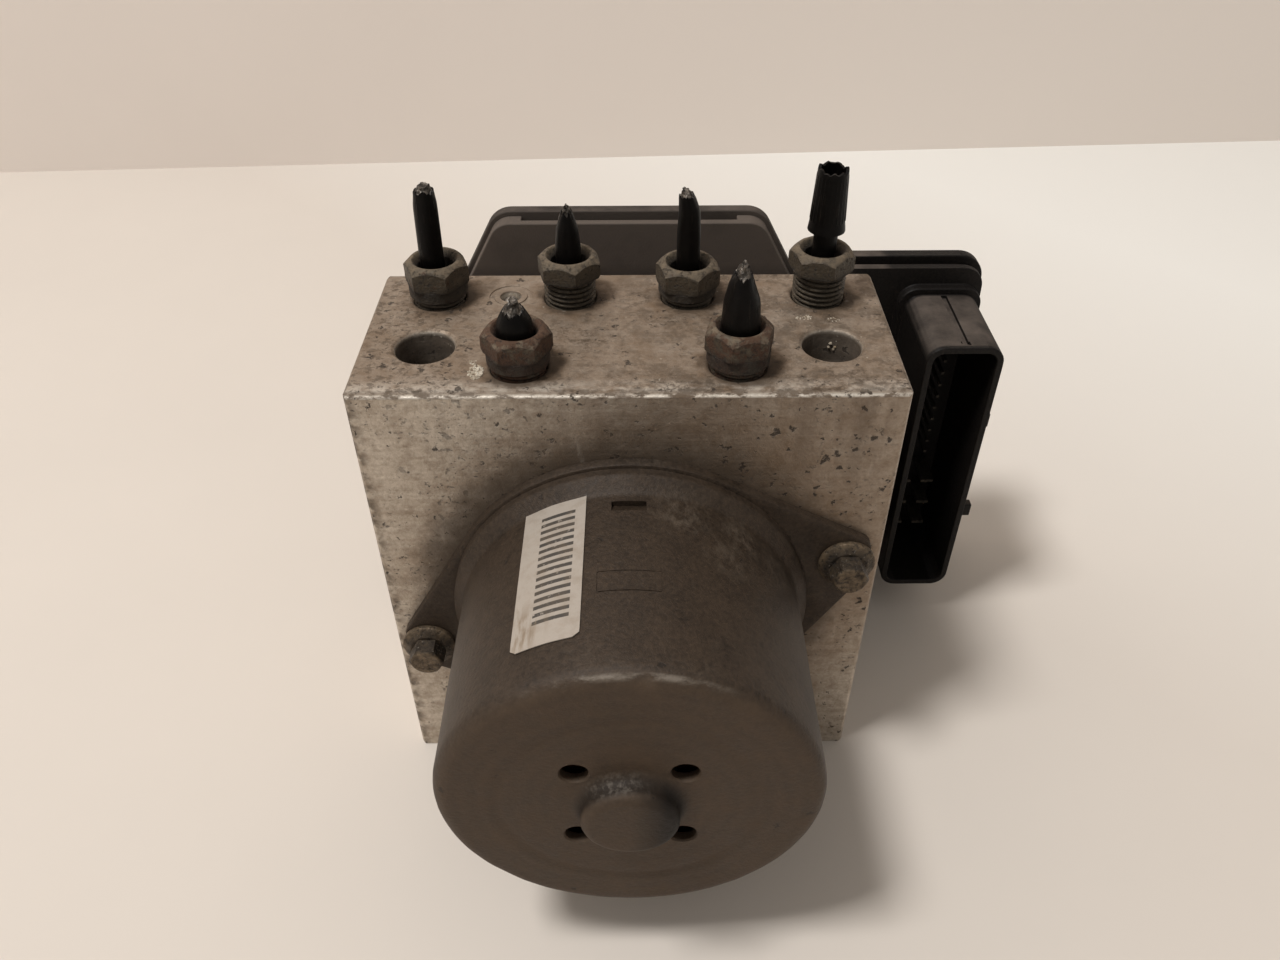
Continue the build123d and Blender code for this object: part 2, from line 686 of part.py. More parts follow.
def front_bearing_balls():
    centre_y = sum(BEARING) / 2
    return [
        Pos(x, centre_y, z) * Sphere(BEARING_BALL_R)
        for x, z in around(BEARING_BALLS, BALL_TRACK_R, AXIS_Z)
    ]


def rear_bush():
    """Sintered bush pressed into the can's hub."""
    outer = HUB_R - CAN_WALL - PRESS_GAP
    start = CAN_END - HUB_HEIGHT + CAN_WALL + 0.2
    return tube("y", outer, TAIL_R + RUN_GAP, start, start + BUSH_LENGTH, (0, AXIS_Z))


def brush_plate():
    """Moulded disc behind the armature that carries the brush boxes and the terminal sleeve."""
    disc = tube("y", CAN_R - CAN_WALL - 0.3, COMMUTATOR_R + 1.5, *BRUSH_PLATE, (0, AXIS_Z))
    start, end = BRUSH_PLATE[0] - 1, BRUSH_PLATE[1] + 1
    for dx in (-1, 1):
        for dz in (-1, 1):
            reach = BRUSH_PLATE_HOLES_AT / sqrt(2)
            disc -= rod("y", BRUSH_PLATE_HOLE_R, start, end, (dx * reach, AXIS_Z + dz * reach))
    return disc - rod("y", TERMINAL_R, start, end, (0, TERMINAL_Z))


def brush_block(side, start, end, growth=0.0):
    """A block on the brush line, from start to end of its distance out from the axis."""
    _, height, width = BRUSH_SIZE
    return block(
        sorted((side * start, side * end)),
        (BRUSH_Y - height / 2 - growth, BRUSH_Y + height / 2 + growth),
        (AXIS_Z - width / 2 - growth, AXIS_Z + width / 2 + growth),
    )


def brush_boxes():
    """Two folded brass guides, open towards the commutator and closed behind the springs."""
    start, end = BRUSH_BOX
    wall = BRUSH_BOX_WALL
    return [
        brush_block(side, start, end, wall + RUN_GAP)
        - brush_block(side, start - 1, end - wall, RUN_GAP)
        for side in (-1, 1)
    ]


def brush(side):
    """Carbon brush, ground to the commutator's curve."""
    blank = brush_block(side, COMMUTATOR_R - 1, COMMUTATOR_R + RUN_GAP + BRUSH_SIZE[0])
    start, end = COMMUTATOR[0] - 1, COMMUTATOR[1] + 1
    return blank - rod("y", COMMUTATOR_R + RUN_GAP, start, end, (0, AXIS_Z))


def brush_spring(side):
    start = side * (COMMUTATOR_R + RUN_GAP + BRUSH_SIZE[0] + BRUSH_SPRING_GAP)
    end = side * (BRUSH_BOX[1] - BRUSH_BOX_WALL - BRUSH_SPRING_GAP)
    return coil_spring(
        "x", BRUSH_SPRING_R, BRUSH_SPRING_WIRE, start, end, BRUSH_SPRING_TURNS, (BRUSH_Y, AXIS_Z)
    )


def terminal_sleeve():
    """Plastic sleeve that takes the motor's two pins through the block."""
    outer = rod("y", TERMINAL_R - PRESS_GAP, BRUSH_PLATE[0], BACK + 2, (0, TERMINAL_Z))
    for x in PIN_X:
        outer -= rod("y", MOTOR_PIN_R + PRESS_GAP, BRUSH_PLATE[0] - 1, BACK + 3, (x, TERMINAL_Z))
    return outer


def motor_pins():
    start, end = BRUSH_PLATE[0] - 1, BOARD[0] - PIN_SHORT
    return [rod("y", MOTOR_PIN_R, start, end, (x, TERMINAL_Z)) for x in PIN_X]


def motor_label():
    """Blank adhesive label with rounded corners, wrapped on the can."""
    label = tube("y", CAN_R + LABEL_THICKNESS, CAN_R + 0.01, *LABEL_Y, (0, AXIS_Z))
    label &= sector(*LABEL_SPAN, LABEL_Y[0] - 1, LABEL_Y[1] + 1)
    corners = label.edges().filter_by(lambda edge: edge.length < 2 * LABEL_THICKNESS)
    return fillet(corners, LABEL_ROUND)


# ---- rotor ----------------------------------------------------------------------------------
def rotor_shaft():
    """Motor shaft: tail journal, main diameter and the eccentric that works the pump."""
    tail_end = CAN_END - HUB_HEIGHT + CAN_WALL + 0.5
    shaft = rod("y", TAIL_R, tail_end, TAIL_STEP, (0, AXIS_Z))
    shaft += rod("y", SHAFT_R, TAIL_STEP - 0.8, JOURNAL[0], (0, AXIS_Z))
    journal = rod("y", JOURNAL_R, *JOURNAL, (0, AXIS_Z + ECCENTRICITY))
    return shaft + chamfer(journal.edges().filter_by(GeomType.CIRCLE), 0.4)


def slot_bar(angle, width, inner, outer, start, end):
    """A radial bar at one armature slot."""
    bar = block((inner, outer), (start, end), (-width / 2, width / 2))
    return Pos(0, 0, AXIS_Z) * Rot(0, angle, 0) * bar


def armature_core():
    """Laminated core with twelve closed-top slots."""
    core = tube("y", ARMATURE_R, SHAFT_R + PRESS_GAP, *ARMATURE, (0, AXIS_Z))
    start, end = ARMATURE[0] - 1, ARMATURE[1] + 1
    for i in range(SLOTS):
        angle = 360 * i / SLOTS
        core -= slot_bar(angle, SLOT_WIDTH, *SLOT_R, start, end)
        core -= slot_bar(angle, SLOT_MOUTH, SLOT_R[1] - 1, ARMATURE_R + 1, start, end)
    return core


def armature_windings():
    """Copper windings: bars in the slots joined by a rounded bundle at each end."""
    start, end = ARMATURE
    bundles = ((start - WINDING_END, start - 0.1), (end + 0.1, end + WINDING_END))
    bar_start, bar_end = bundles[0][0] + 1, bundles[1][1] - 1
    windings = slot_bar(0, WINDING_WIDTH, *WINDING_R, bar_start, bar_end)
    for i in range(1, SLOTS):
        windings += slot_bar(360 * i / SLOTS, WINDING_WIDTH, *WINDING_R, bar_start, bar_end)
    inner, outer = WINDING_R[0] - 2.5, WINDING_R[1]
    for low, high in bundles:
        bundle = [(inner, low), (outer, low), (outer, high), (inner, high)]
        windings += turned("y", bundle, (0, AXIS_Z), 1.2)
    return windings


def commutator():
    """Copper segments on a moulded core, parted by undercut slots."""
    drum = tube("y", COMMUTATOR_R, SHAFT_R + PRESS_GAP, *COMMUTATOR, (0, AXIS_Z))
    width, depth = COMMUTATOR_SLOT
    start, end = COMMUTATOR[0] - 1, COMMUTATOR[1] + 1
    for i in range(SLOTS):
        angle = 360 * (i + 0.5) / SLOTS
        drum -= slot_bar(angle, width, COMMUTATOR_R - depth, COMMUTATOR_R + 1, start, end)
    return drum


def eccentric_cup():
    """Outer ring of the needle bearing on the eccentric, against which the pistons run."""
    centre = (0, AXIS_Z + ECCENTRICITY)
    start, end = PUMP_Y - CUP_WIDTH / 2, PUMP_Y + CUP_WIDTH / 2
    cup = tube("y", CUP_R, CUP_R - CUP_WALL, start, end, centre)
    return chamfer(cup.edges().filter_by(GeomType.CIRCLE).sort_by(Edge.length)[-2:], 0.4)


def eccentric_needles():
    pitch_r = (JOURNAL_R + CUP_R - CUP_WALL) / 2
    reach = CUP_WIDTH / 2 - NEEDLE_END_GAP
    return [
        rod("y", NEEDLE_R, PUMP_Y - reach, PUMP_Y + reach, centre)
        for centre in around(NEEDLES, pitch_r, AXIS_Z + ECCENTRICITY)
    ]


# ---- pump -----------------------------------------------------------------------------------
def pump_turned(side, profile):
    """A turned pump piece: (radius, distance out from the motor axis) points, on one side."""
    return turned("x", [(r, side * x) for r, x in profile], (PUMP_Y, AXIS_Z))


def pump_piston(side):
    """Hardened piston with a domed tip, drawn at its outer dead centre."""
    tip, end = PISTON_TIP, PISTON_TIP + PISTON_LENGTH
    r, nose = PISTON_R, PISTON_NOSE
    return pump_turned(side, [(0, tip), (r - nose, tip), (r, tip + nose), (r, end), (0, end)])


def pump_sleeve(side):
    """Pressed-in liner, wider behind the piston to hold the return spring."""
    outer = PUMP_BORE_R - PRESS_GAP
    bore = PISTON_R + RUN_GAP
    start, end = PUMP_SLEEVE
    profile = [
        (bore, start), (outer - 0.4, start), (outer, start + 0.4), (outer, end),
        (SPRING_SEAT_R, end), (SPRING_SEAT_R, SPRING_SEAT[1]), (bore, SPRING_SEAT[0]),
    ]
    return pump_turned(side, profile)


def pump_spring(side):
    gap = PUMP_SPRING_WIRE + 0.1
    start = side * (PISTON_TIP + PISTON_LENGTH + gap)
    end = side * (SIDE - PUMP_PLUG_LENGTH - gap)
    return coil_spring(
        "x", PUMP_SPRING_R, PUMP_SPRING_WIRE, start, end, PUMP_SPRING_TURNS, (PUMP_Y, AXIS_Z)
    )


def pump_plug(side):
    """Staked end plug with a hexagon socket."""
    r = PUMP_BORE_R - PRESS_GAP
    inner, outer = SIDE - PUMP_PLUG_LENGTH, SIDE - PLUG_SINK
    profile = [
        (0, inner), (r - 0.5, inner), (r, inner + 0.5), (r, outer - 0.6), (r - 0.6, outer), (0, outer)
    ]
    plug = pump_turned(side, profile)
    socket_plane = Plane(
        origin=(side * (outer + 1), PUMP_Y, AXIS_Z), x_dir=(0, 1, 0), z_dir=(-side, 0, 0)
    )
    socket = RegularPolygon(PLUG_SOCKET_R, 6)
    return plug - extrude(socket_plane * socket, amount=PLUG_SOCKET_DEPTH + 1)


# ---- accumulators ---------------------------------------------------------------------------
def accumulator_at(side):
    return (side * ACCUMULATOR_X, ACCUMULATOR_Y)


def accumulator_piston(side):
    """Cup-shaped piston with a seal groove, at rest against the top of its bore."""
    r = ACCUMULATOR_R - 0.08
    top = PISTON_TOP
    bottom = top - ACCUMULATOR_PISTON_LENGTH
    groove_top = top - PISTON_LAND
    groove_bottom = groove_top - SEAL_WIDTH
    crown = top - PISTON_CROWN
    profile = [
        (0, top), (r, top), (r, groove_top), (SEAL_ROOT_R, groove_top),
        (SEAL_ROOT_R, groove_bottom), (r, groove_bottom), (r, bottom), (PISTON_CUP_R, bottom),
        (PISTON_CUP_R, crown), (0, crown),
    ]
    return turned("z", profile, accumulator_at(side))


def accumulator_seal(side):
    """O-ring in the piston's groove."""
    section_r = (ACCUMULATOR_R - SEAL_ROOT_R) / 2 - 0.01
    x, y = accumulator_at(side)
    z = PISTON_TOP - PISTON_LAND - SEAL_WIDTH / 2
    return Pos(x, y, z) * Torus((ACCUMULATOR_R + SEAL_ROOT_R) / 2, section_r)


def accumulator_spring(side):
    gap = ACCUMULATOR_SPRING_WIRE + 0.1
    top = PISTON_TOP - PISTON_CROWN - gap
    bottom = CAP_RECESS + CAP_THICKNESS + gap
    mean_r, wire_r = ACCUMULATOR_SPRING_R, ACCUMULATOR_SPRING_WIRE
    turns = ACCUMULATOR_SPRING_TURNS
    return coil_spring("z", mean_r, wire_r, bottom, top, turns, accumulator_at(side))


def accumulator_cap(side):
    """Pressed steel cap, dished on the outside, just inside the bottom face."""
    r = ACCUMULATOR_R - PRESS_GAP
    low, high = CAP_RECESS, CAP_RECESS + CAP_THICKNESS
    dish = low + CAP_DISH
    profile = [(0, dish), (r - 2.5, dish), (r - 1.8, low), (r, low), (r, high), (0, high)]
    return turned("z", profile, accumulator_at(side))


# ---- solenoid valves --------------------------------------------------------------------------
def valve(x, z, dome_r):
    """A sealed valve cartridge: stepped body in the block and a closed dome under its coil."""
    seat = BACK - VALVE_DEPTH
    r = VALVE_R - PRESS_GAP
    profile = [(0, seat + CARTRIDGE_STEPS[0][1])]
    for inset, start, end in CARTRIDGE_STEPS:
        profile += [(r - inset, seat + start), (r - inset, seat + end)]
    face, tip = BACK - 0.4, BACK + DOME_LENGTH
    profile += [(r, seat + CARTRIDGE_STEPS[-1][2]), (r, face), (dome_r, face), (dome_r, tip), (0, tip)]
    return turned("y", profile, (x, z), [0] * (len(profile) - 2) + [DOME_ROUND, 0])


def solenoid_coil(x, z):
    """Wound coil in its steel yoke, with two pins up to the circuit board."""
    start = TUB_FRONT + COIL_GAP
    end = start + COIL_LENGTH
    yoke = [(DOME_R + 0.2, start), (COIL_R, start), (COIL_R, end), (DOME_R + 0.2, end)]
    coil = turned("y", yoke, (x, z), 0.8)
    pad_x, pad_z = COIL_PIN_X + 1.2, z + COIL_PIN_Z
    coil += block((x - pad_x, x + pad_x), (end - 1, end + 2), (pad_z - 1.4, pad_z + 1.4))
    for dx in (-COIL_PIN_X, COIL_PIN_X):
        coil += rod("y", COIL_PIN_R, end + 1, BOARD[0] - PIN_SHORT, (x + dx, z + COIL_PIN_Z))
    return coil


# ---- control unit -----------------------------------------------------------------------------
UNIT_OUTLINE = [
    (-TUB_HALF_WIDTH, UNIT_BOTTOM), (UNIT_RIGHT, UNIT_BOTTOM), (UNIT_RIGHT, SHOULDER_TOP),
    (45.6, SHOULDER_TOP), (42.0, NOTCH_Z), (39.6, NOTCH_Z), (HUMP_HALF, HUMP_TOP),
    (-HUMP_HALF, HUMP_TOP), (-39.9, NOTCH_Z - 0.5), (-TUB_HALF_WIDTH, NOTCH_Z - 0.5),
]
UNIT_ROUNDS = [3.0, 4.0, 6.0, 1.6, 1.1, 1.1, 6.0, 6.0, 1.5, 3.0]


def unit_prism(y0, y1, inset=0.0):
    return outline_prism(UNIT_OUTLINE, UNIT_ROUNDS, y0, y1, inset)


def rounded_block(x, z, radius, y0, y1):
    corners = [(x[0], z[0]), (x[1], z[0]), (x[1], z[1]), (x[0], z[1])]
    return outline_prism(corners, radius, y0, y1)


def tub_block(inset, y0, y1):
    return rounded_block(
        (-TUB_HALF_WIDTH + inset, TUB_HALF_WIDTH - inset), (TUB_BOTTOM + inset, TUB_TOP - inset),
        3.0, y0, y1,
    )


def ecu_housing():
    """One moulding: tub over the coils, board tray with its rim, and the connector shell."""
    body = tub_block(0, TUB_FRONT, TRAY_FRONT) + unit_prism(TRAY_FRONT, GROOVE_FRONT, TRAY_INSET)
    rim = unit_prism(GROOVE_FRONT, LID_FRONT, RIM_INSET)
    full = unit_prism(GROOVE_FRONT, LID_FRONT, TRAY_INSET)
    for side in (-1, 1):
        x = sorted(side * edge for edge in HORN_X)
        rim += full & block(x, (GROOVE_FRONT, LID_FRONT), (HORN_BOTTOM, HUMP_TOP))
    body += rim
    shell_x0, shell_x1 = SHELL_X
    shell_z0, shell_z1 = SHELL_Z
    body += rounded_block(SHELL_X, SHELL_Z, SHELL_ROUND, SHELL_MOUTH, TRAY_FRONT)
    start, growth, right_growth, corner = SHELL_FOOT
    body += rounded_block(
        (shell_x0 - growth, shell_x1 + right_growth), (shell_z0 - growth, shell_z1 + growth),
        corner, start, TRAY_FRONT,
    )
    body -= unit_prism(GROOVE_FRONT, LID_FRONT + 1, RIM_INNER_INSET)
    body -= tub_block(WALL, TUB_FRONT - 1, LID_FRONT - 1)
    t = SHELL_WALL
    body -= rounded_block(
        (shell_x0 + t, shell_x1 - t), (shell_z0 + t, shell_z1 - t), SHELL_ROUND - t,
        SHELL_MOUTH - 1, SHELL_FLOOR,
    )
    # groove along the shell's top, wider at its mouth, and two pegs on its right wall
    groove_z = (shell_z1 - SHELL_GROOVE_DEPTH, shell_z1 + 1)
    body -= block(SHELL_GROOVE_X, SHELL_GROOVE_Y, groove_z)
    left, right = SHELL_GROOVE_X
    body -= block((left - 0.3, right + 0.3), (SHELL_GROOVE_Y[0] - 0.6, SHELL_GROOVE_Y[0] + 0.8), groove_z)
    for y0, y1, z0, z1, height in SHELL_PEGS:
        body += block((shell_x1 - 0.2, shell_x1 + height), (y0, y1), (z0, z1))
    for x, z in screw_points():
        body += rod("y", BOSS_R, TUB_FRONT, LID_FRONT, (x, z))
        body -= rod("y", SCREW_R + 0.15, TUB_FRONT - 1, LID_FRONT + 1, (x, z))
    for x, z, width, height in pin_layout():
        body -= pin_block(x, z, width + PIN_FIT, height + PIN_FIT)
    return body


def pin_layout():
    """Connector pins: x, z, width, height. Signal pins in two columns, power blades below."""
    rows = [SIGNAL_PIN_START + SIGNAL_PIN_PITCH * i for i in range(SIGNAL_PIN_ROWS)]
    signal = [(x, z, *SIGNAL_PIN_SIZE) for x in SIGNAL_PIN_X for z in rows]
    power = [(x, z, *POWER_PIN_SIZE) for x in POWER_PIN_X for z in POWER_PIN_Z]
    return signal + power


def pin_block(x, z, width, height):
    return block(
        (x - width / 2, x + width / 2),
        (PIN_TIP, BOARD[0] - PIN_SHORT),
        (z - height / 2, z + height / 2),
    )


def connector_pins():
    return [pin_block(*pin) for pin in pin_layout()]


def ecu_lid():
    """Flat cover plate, welded to the rim, with a sunk field, a vent ring and screw openings."""
    lid = unit_prism(LID_FRONT, LID_BACK)
    lid = fillet(lid.faces().sort_by(Axis.Y)[-1].edges(), LID_EDGE)
    start, end = LID_BACK - LID_FIELD_DEPTH, LID_BACK + 1
    lid -= rounded_block(LID_FIELD_X, LID_FIELD_Z, LID_FIELD_ROUND, start, end)
    for z in LID_SLOT_Z:
        lid -= rounded_block(LID_SLOT_X, (z, z + LID_SLOT_HEIGHT), 1.0, start, end)
    inner, outer = LID_VENT_R
    lid -= tube("y", outer, inner, LID_BACK - LID_VENT_DEPTH, end, LID_VENT)
    for x, z in screw_points():
        lid -= rod("y", BOSS_R, LID_FRONT - 1, end, (x, z))
    return lid


def circuit_board():
    board = unit_prism(*BOARD, BOARD_INSET)
    for x, z in screw_points():
        board -= rod("y", BOSS_R + 0.4, BOARD[0] - 1, BOARD[1] + 1, (x, z))
    return board


def housing_seal():
    """Rubber seal between the tub's front edge and the block."""
    outer, inner = SEAL_INSET
    seal = tub_block(outer, BACK + PRESS_GAP, TUB_FRONT - PRESS_GAP)
    return seal - tub_block(inner, BACK - 1, TUB_FRONT + 1)


def ecu_screw(x, z):
    """Pan-head screw through the unit into the block, with a hexagon socket."""
    seat, top = LID_FRONT + PRESS_GAP, LID_BACK - SCREW_HEAD_SINK
    rim_r, top_r = SCREW_HEAD_R
    head = [(0, seat), (rim_r, seat), (rim_r, top - 0.7), (top_r, top), (0, top)]
    screw = turned("y", head, (x, z))
    screw += rod("y", SCREW_R, BACK - SCREW_THREAD + 0.5, LID_FRONT + 1, (x, z))
    plane = Plane(origin=(x, LID_BACK, z), z_dir=(0, -1, 0))
    return screw - extrude(plane * RegularPolygon(SCREW_SOCKET_R, 6), amount=1.6)


# ---- the whole unit -----------------------------------------------------------------------------
def nodes():
    """Every sub-part by its node name: one solid, or a list of like solids."""
    parts = {
        "valve_block": valve_block(),
        "gallery_balls": gallery_balls(),
        "pipe_nuts_plain": pipe_nuts(False),
        "pipe_nuts_collared": pipe_nuts(True),
        "pipe_rear_right": sleeved_pipe(*PORTS["rear_right"][:2]),
        "motor_can": motor_can(),
        "motor_gasket": motor_gasket(),
        "motor_bolts": motor_bolts(),
        "magnet_upper": magnet(90),
        "magnet_lower": magnet(270),
        "bearing_plate": bearing_plate(),
        "front_bearing_outer": front_bearing_outer(),
        "front_bearing_inner": front_bearing_inner(),
        "front_bearing_balls": front_bearing_balls(),
        "rear_bush": rear_bush(),
        "brush_plate": brush_plate(),
        "brush_boxes": brush_boxes(),
        "terminal_sleeve": terminal_sleeve(),
        "motor_pins": motor_pins(),
        "motor_label": motor_label(),
        "rotor_shaft": rotor_shaft(),
        "armature_core": armature_core(),
        "armature_windings": armature_windings(),
        "commutator": commutator(),
        "eccentric_cup": eccentric_cup(),
        "eccentric_needles": eccentric_needles(),
        "inlet_valves": [valve(x, INLET_ROW_Z, DOME_R) for x in VALVE_X],
        "outlet_valves": [valve(x, OUTLET_ROW_Z, OUTLET_DOME_R) for x in VALVE_X],
        "solenoid_coils": [
            solenoid_coil(x, z) for z in (OUTLET_ROW_Z, INLET_ROW_Z) for x in VALVE_X
        ],
        "ecu_housing": ecu_housing(),
        "ecu_lid": ecu_lid(),
        "circuit_board": circuit_board(),
        "connector_pins": connector_pins(),
        "housing_seal": housing_seal(),
        "ecu_screws": [ecu_screw(x, z) for x, z in screw_points()],
    }
    for name, sections in PIPES.items():
        parts["pipe_" + name] = cut_pipe(*PORTS[name][:2], sections)
    pairs = {
        "pump_piston": pump_piston,
        "pump_sleeve": pump_sleeve,
        "pump_spring": pump_spring,
        "pump_plug": pump_plug,
        "accumulator_piston": accumulator_piston,
        "accumulator_seal": accumulator_seal,
        "accumulator_spring": accumulator_spring,
        "accumulator_cap": accumulator_cap,
        "brush": brush,
        "brush_spring": brush_spring,
    }
    for name, make in pairs.items():
        for side, piece in both(make).items():
            parts[f"{name}_{side}"] = piece
    return parts


os.makedirs("parts", exist_ok=True)
for name, piece in nodes().items():
    if isinstance(piece, list):
        piece = Compound(piece)
    export_step(piece, f"parts/{name}.step")
    print(f"{name:24s} volume {piece.volume:10.1f}")
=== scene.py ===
"""Looks of an anti-lock brake hydraulic unit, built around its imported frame.

A milled aluminium valve block carries six pipe nuts with cut pipe stubs, a pump motor on its
front face and a plastic control unit on its back face. Meshes are made in millimetres.
"""
import json
import math
from contextlib import contextmanager

import bmesh
import bpy
from bpy.props import FloatProperty, FloatVectorProperty, PointerProperty
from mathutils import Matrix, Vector, noise
from mathutils.kdtree import KDTree


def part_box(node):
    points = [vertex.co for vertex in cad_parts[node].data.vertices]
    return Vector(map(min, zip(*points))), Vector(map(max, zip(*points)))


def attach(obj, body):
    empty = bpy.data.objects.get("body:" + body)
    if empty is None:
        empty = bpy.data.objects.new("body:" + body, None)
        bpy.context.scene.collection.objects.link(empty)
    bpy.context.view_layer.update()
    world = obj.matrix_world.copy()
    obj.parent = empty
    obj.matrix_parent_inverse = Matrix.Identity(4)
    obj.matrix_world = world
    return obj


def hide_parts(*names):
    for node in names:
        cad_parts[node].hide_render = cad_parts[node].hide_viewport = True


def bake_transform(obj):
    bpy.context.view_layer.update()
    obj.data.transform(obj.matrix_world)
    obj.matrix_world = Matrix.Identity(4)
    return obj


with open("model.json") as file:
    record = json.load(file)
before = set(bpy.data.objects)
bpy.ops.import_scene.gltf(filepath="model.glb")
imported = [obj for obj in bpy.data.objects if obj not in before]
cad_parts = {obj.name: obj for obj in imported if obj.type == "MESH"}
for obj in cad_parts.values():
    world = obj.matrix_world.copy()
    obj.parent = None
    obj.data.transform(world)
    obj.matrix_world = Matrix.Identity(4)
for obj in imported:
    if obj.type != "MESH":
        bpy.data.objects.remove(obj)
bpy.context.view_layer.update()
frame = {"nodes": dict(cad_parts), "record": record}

bl_info = {
    "name": "Brake hydraulic unit",
    "version": (1, 0, 0),
    "blender": (4, 5, 0),
    "location": "View3D > Sidebar > Brake unit",
    "description": "Dresses the packed frame of an anti-lock brake hydraulic unit",
    "category": "Add Mesh",
}

MM = 0.001
BODY = "unit"

# Places on the unit in millimetres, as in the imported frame
BLOCK_LOW, BLOCK_HIGH = (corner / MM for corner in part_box("valve_block"))
BLOCK_TOP = BLOCK_HIGH.z
AXIS_Z = 49.0
CAN_R = 32.7
CAN_END = -67.8
PORT_FOOT = BLOCK_TOP - 10.0
FRONT = BLOCK_LOW.y
BOLT_END = FRONT - 7.6
MOUNT_X = 36.8
MOUNT_Y = -5.6

# Clean-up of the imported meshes: points this close are one, faces this even (in degrees) are one
WELD = 0.002 * MM
EVEN = 0.5
BEVEL_TRIES = 4
BOLT_EDGE = 0.18
# A nut's mesh keeps a share of each of these for its finish
# the foot share also marks painted shade: in the bore, on the collar, under the hex and darker
# towards the bottom of the flats
NUT_MARKS = ("crown", "seam", "foot")
# Soft scuffs on the can's crown: centre, then where each is full and where it is gone
SCUFFS = [
    ((9.5, -31.0, 81.0), 1.5, 8.0),
    ((20.0, -31.0, 75.0), 1.0, 7.0),
    ((17.0, -38.0, 77.0), 1.0, 7.0),
    ((27.0, -33.0, 68.0), 1.0, 7.0),
]
# The label's bars: from and to along the can, from and to round it in degrees, width and pitch
BARS_Y = (-54.6, -29.6)
BARS_TURN = (106.4, 117.6)
BAR_WIDTH = 0.8
BAR_PITCH = 1.6

# Stage, in metres and degrees
STAGE_HALF = 2.0
BACKDROP_HEIGHT = 1.2
BACKDROP_SLOPE = 0.052
LAMP_AIM = (0.0, 0.0, 0.05)
LAMP_AWAY = (-0.61, -0.27, 1.56)
LAMP_SIDE = 0.32
CAMERA_PLACE = (0.0014259, -0.1601664, 0.1960661)
CAMERA_TURN = (50.11055, 0.13189, -0.32796)
SENSOR_WIDTH = 36.0

# x, y, top of the hex, bottom of the hex, round collar under it, turn of its corners in degrees
NUTS = {
    "rear_left": (-36.6, 12.0, 107.0, 102.4, True, -5.0),
    "rear_mid_left": (-11.3, 12.0, 107.8, 103.8, False, -16.0),
    "rear_mid_right": (11.3, 12.0, 106.3, 101.7, True, -14.0),
    "rear_right": (36.6, 12.0, 108.9, 104.8, False, -15.0),
    "front_left": (-19.2, -12.3, 106.5, 102.3, True, 4.0),
    "front_right": (19.2, -12.3, 107.0, 102.6, True, 14.0),
}
# share of each nut's plate that has rusted away
RUSTED = {
    "rear_left": 0.45,
    "rear_mid_left": 0.15,
    "rear_mid_right": 0.35,
    "rear_right": 0.2,
    "front_left": 1.1,
    "front_right": 0.9,
}


# ---- helpers ----------------------------------------------------------------------------------
def linear(hex_colour):
    """A '#RRGGBB' sRGB colour as the linear RGBA that Blender works in."""
    channels = [int(hex_colour[i : i + 2], 16) / 255 for i in (1, 3, 5)]
    return [c / 12.92 if c <= 0.04045 else ((c + 0.055) / 1.055) ** 2.4 for c in channels] + [1.0]


def dimmed(shade, share):
    """A colour with its light brought down to a share."""
    return [part * share for part in shade[:3]] + [1.0]


def add(tree, kind, sockets=None, out=0, **settings):
    """Adds a node, sets its properties and its sockets, and gives back one of its outputs.

    A socket takes a plain value or another node's output.
    """
    made = tree.nodes.new(kind)
    for key, value in settings.items():
        setattr(made, key, value)
    for key, value in (sockets or {}).items():
        if isinstance(value, bpy.types.NodeSocket):
            tree.links.new(value, made.inputs[key])
        else:
            made.inputs[key].default_value = value
    return made.outputs[out] if len(made.outputs) else made


def new_finish(name):
    """A blank material, its tree and the place on the object in millimetres."""
    material = bpy.data.materials.new(name)
    material.use_nodes = True
    tree = material.node_tree
    tree.nodes.clear()
    place = add(tree, "ShaderNodeTexCoord", out="Object")
    where = add(tree, "ShaderNodeVectorMath", {0: place, "Scale": 1 / MM}, operation="SCALE")
    return material, tree, where


def patches(tree, where, size, low, high, detail=3.0, stretch=(1, 1, 1), rough=0.55):
    """Mask of irregular patches about `size` mm wide: 0 under `low` of the noise, 1 over `high`."""
    grid = add(tree, "ShaderNodeVectorMath", {0: where, 1: stretch}, operation="MULTIPLY")
    noisy = {"Vector": grid, "Scale": 1 / size, "Detail": detail, "Roughness": rough}
    cloud = add(tree, "ShaderNodeTexNoise", noisy)
    return add(tree, "ShaderNodeMapRange", {"Value": cloud, "From Min": low, "From Max": high})


def reach_from(tree, where, centre, flatten):
    """Distance in millimetres from a centre, along the axes that `flatten` leaves."""
    off = add(tree, "ShaderNodeVectorMath", {0: where, 1: centre}, operation="SUBTRACT")
    flat = add(tree, "ShaderNodeVectorMath", {0: off, 1: flatten}, operation="MULTIPLY")
    return add(tree, "ShaderNodeVectorMath", {0: flat}, out="Value", operation="LENGTH")


def ring_mask(tree, where, centre, full, gone, flatten=(1, 1, 0)):
    """Mask that is 1 within `full` mm of a centre and fades to 0 at `gone` mm."""
    reach = reach_from(tree, where, centre, flatten)
    span = {"Value": reach, "From Min": gone, "From Max": full}
    return add(tree, "ShaderNodeMapRange", span, interpolation_type="SMOOTHSTEP")


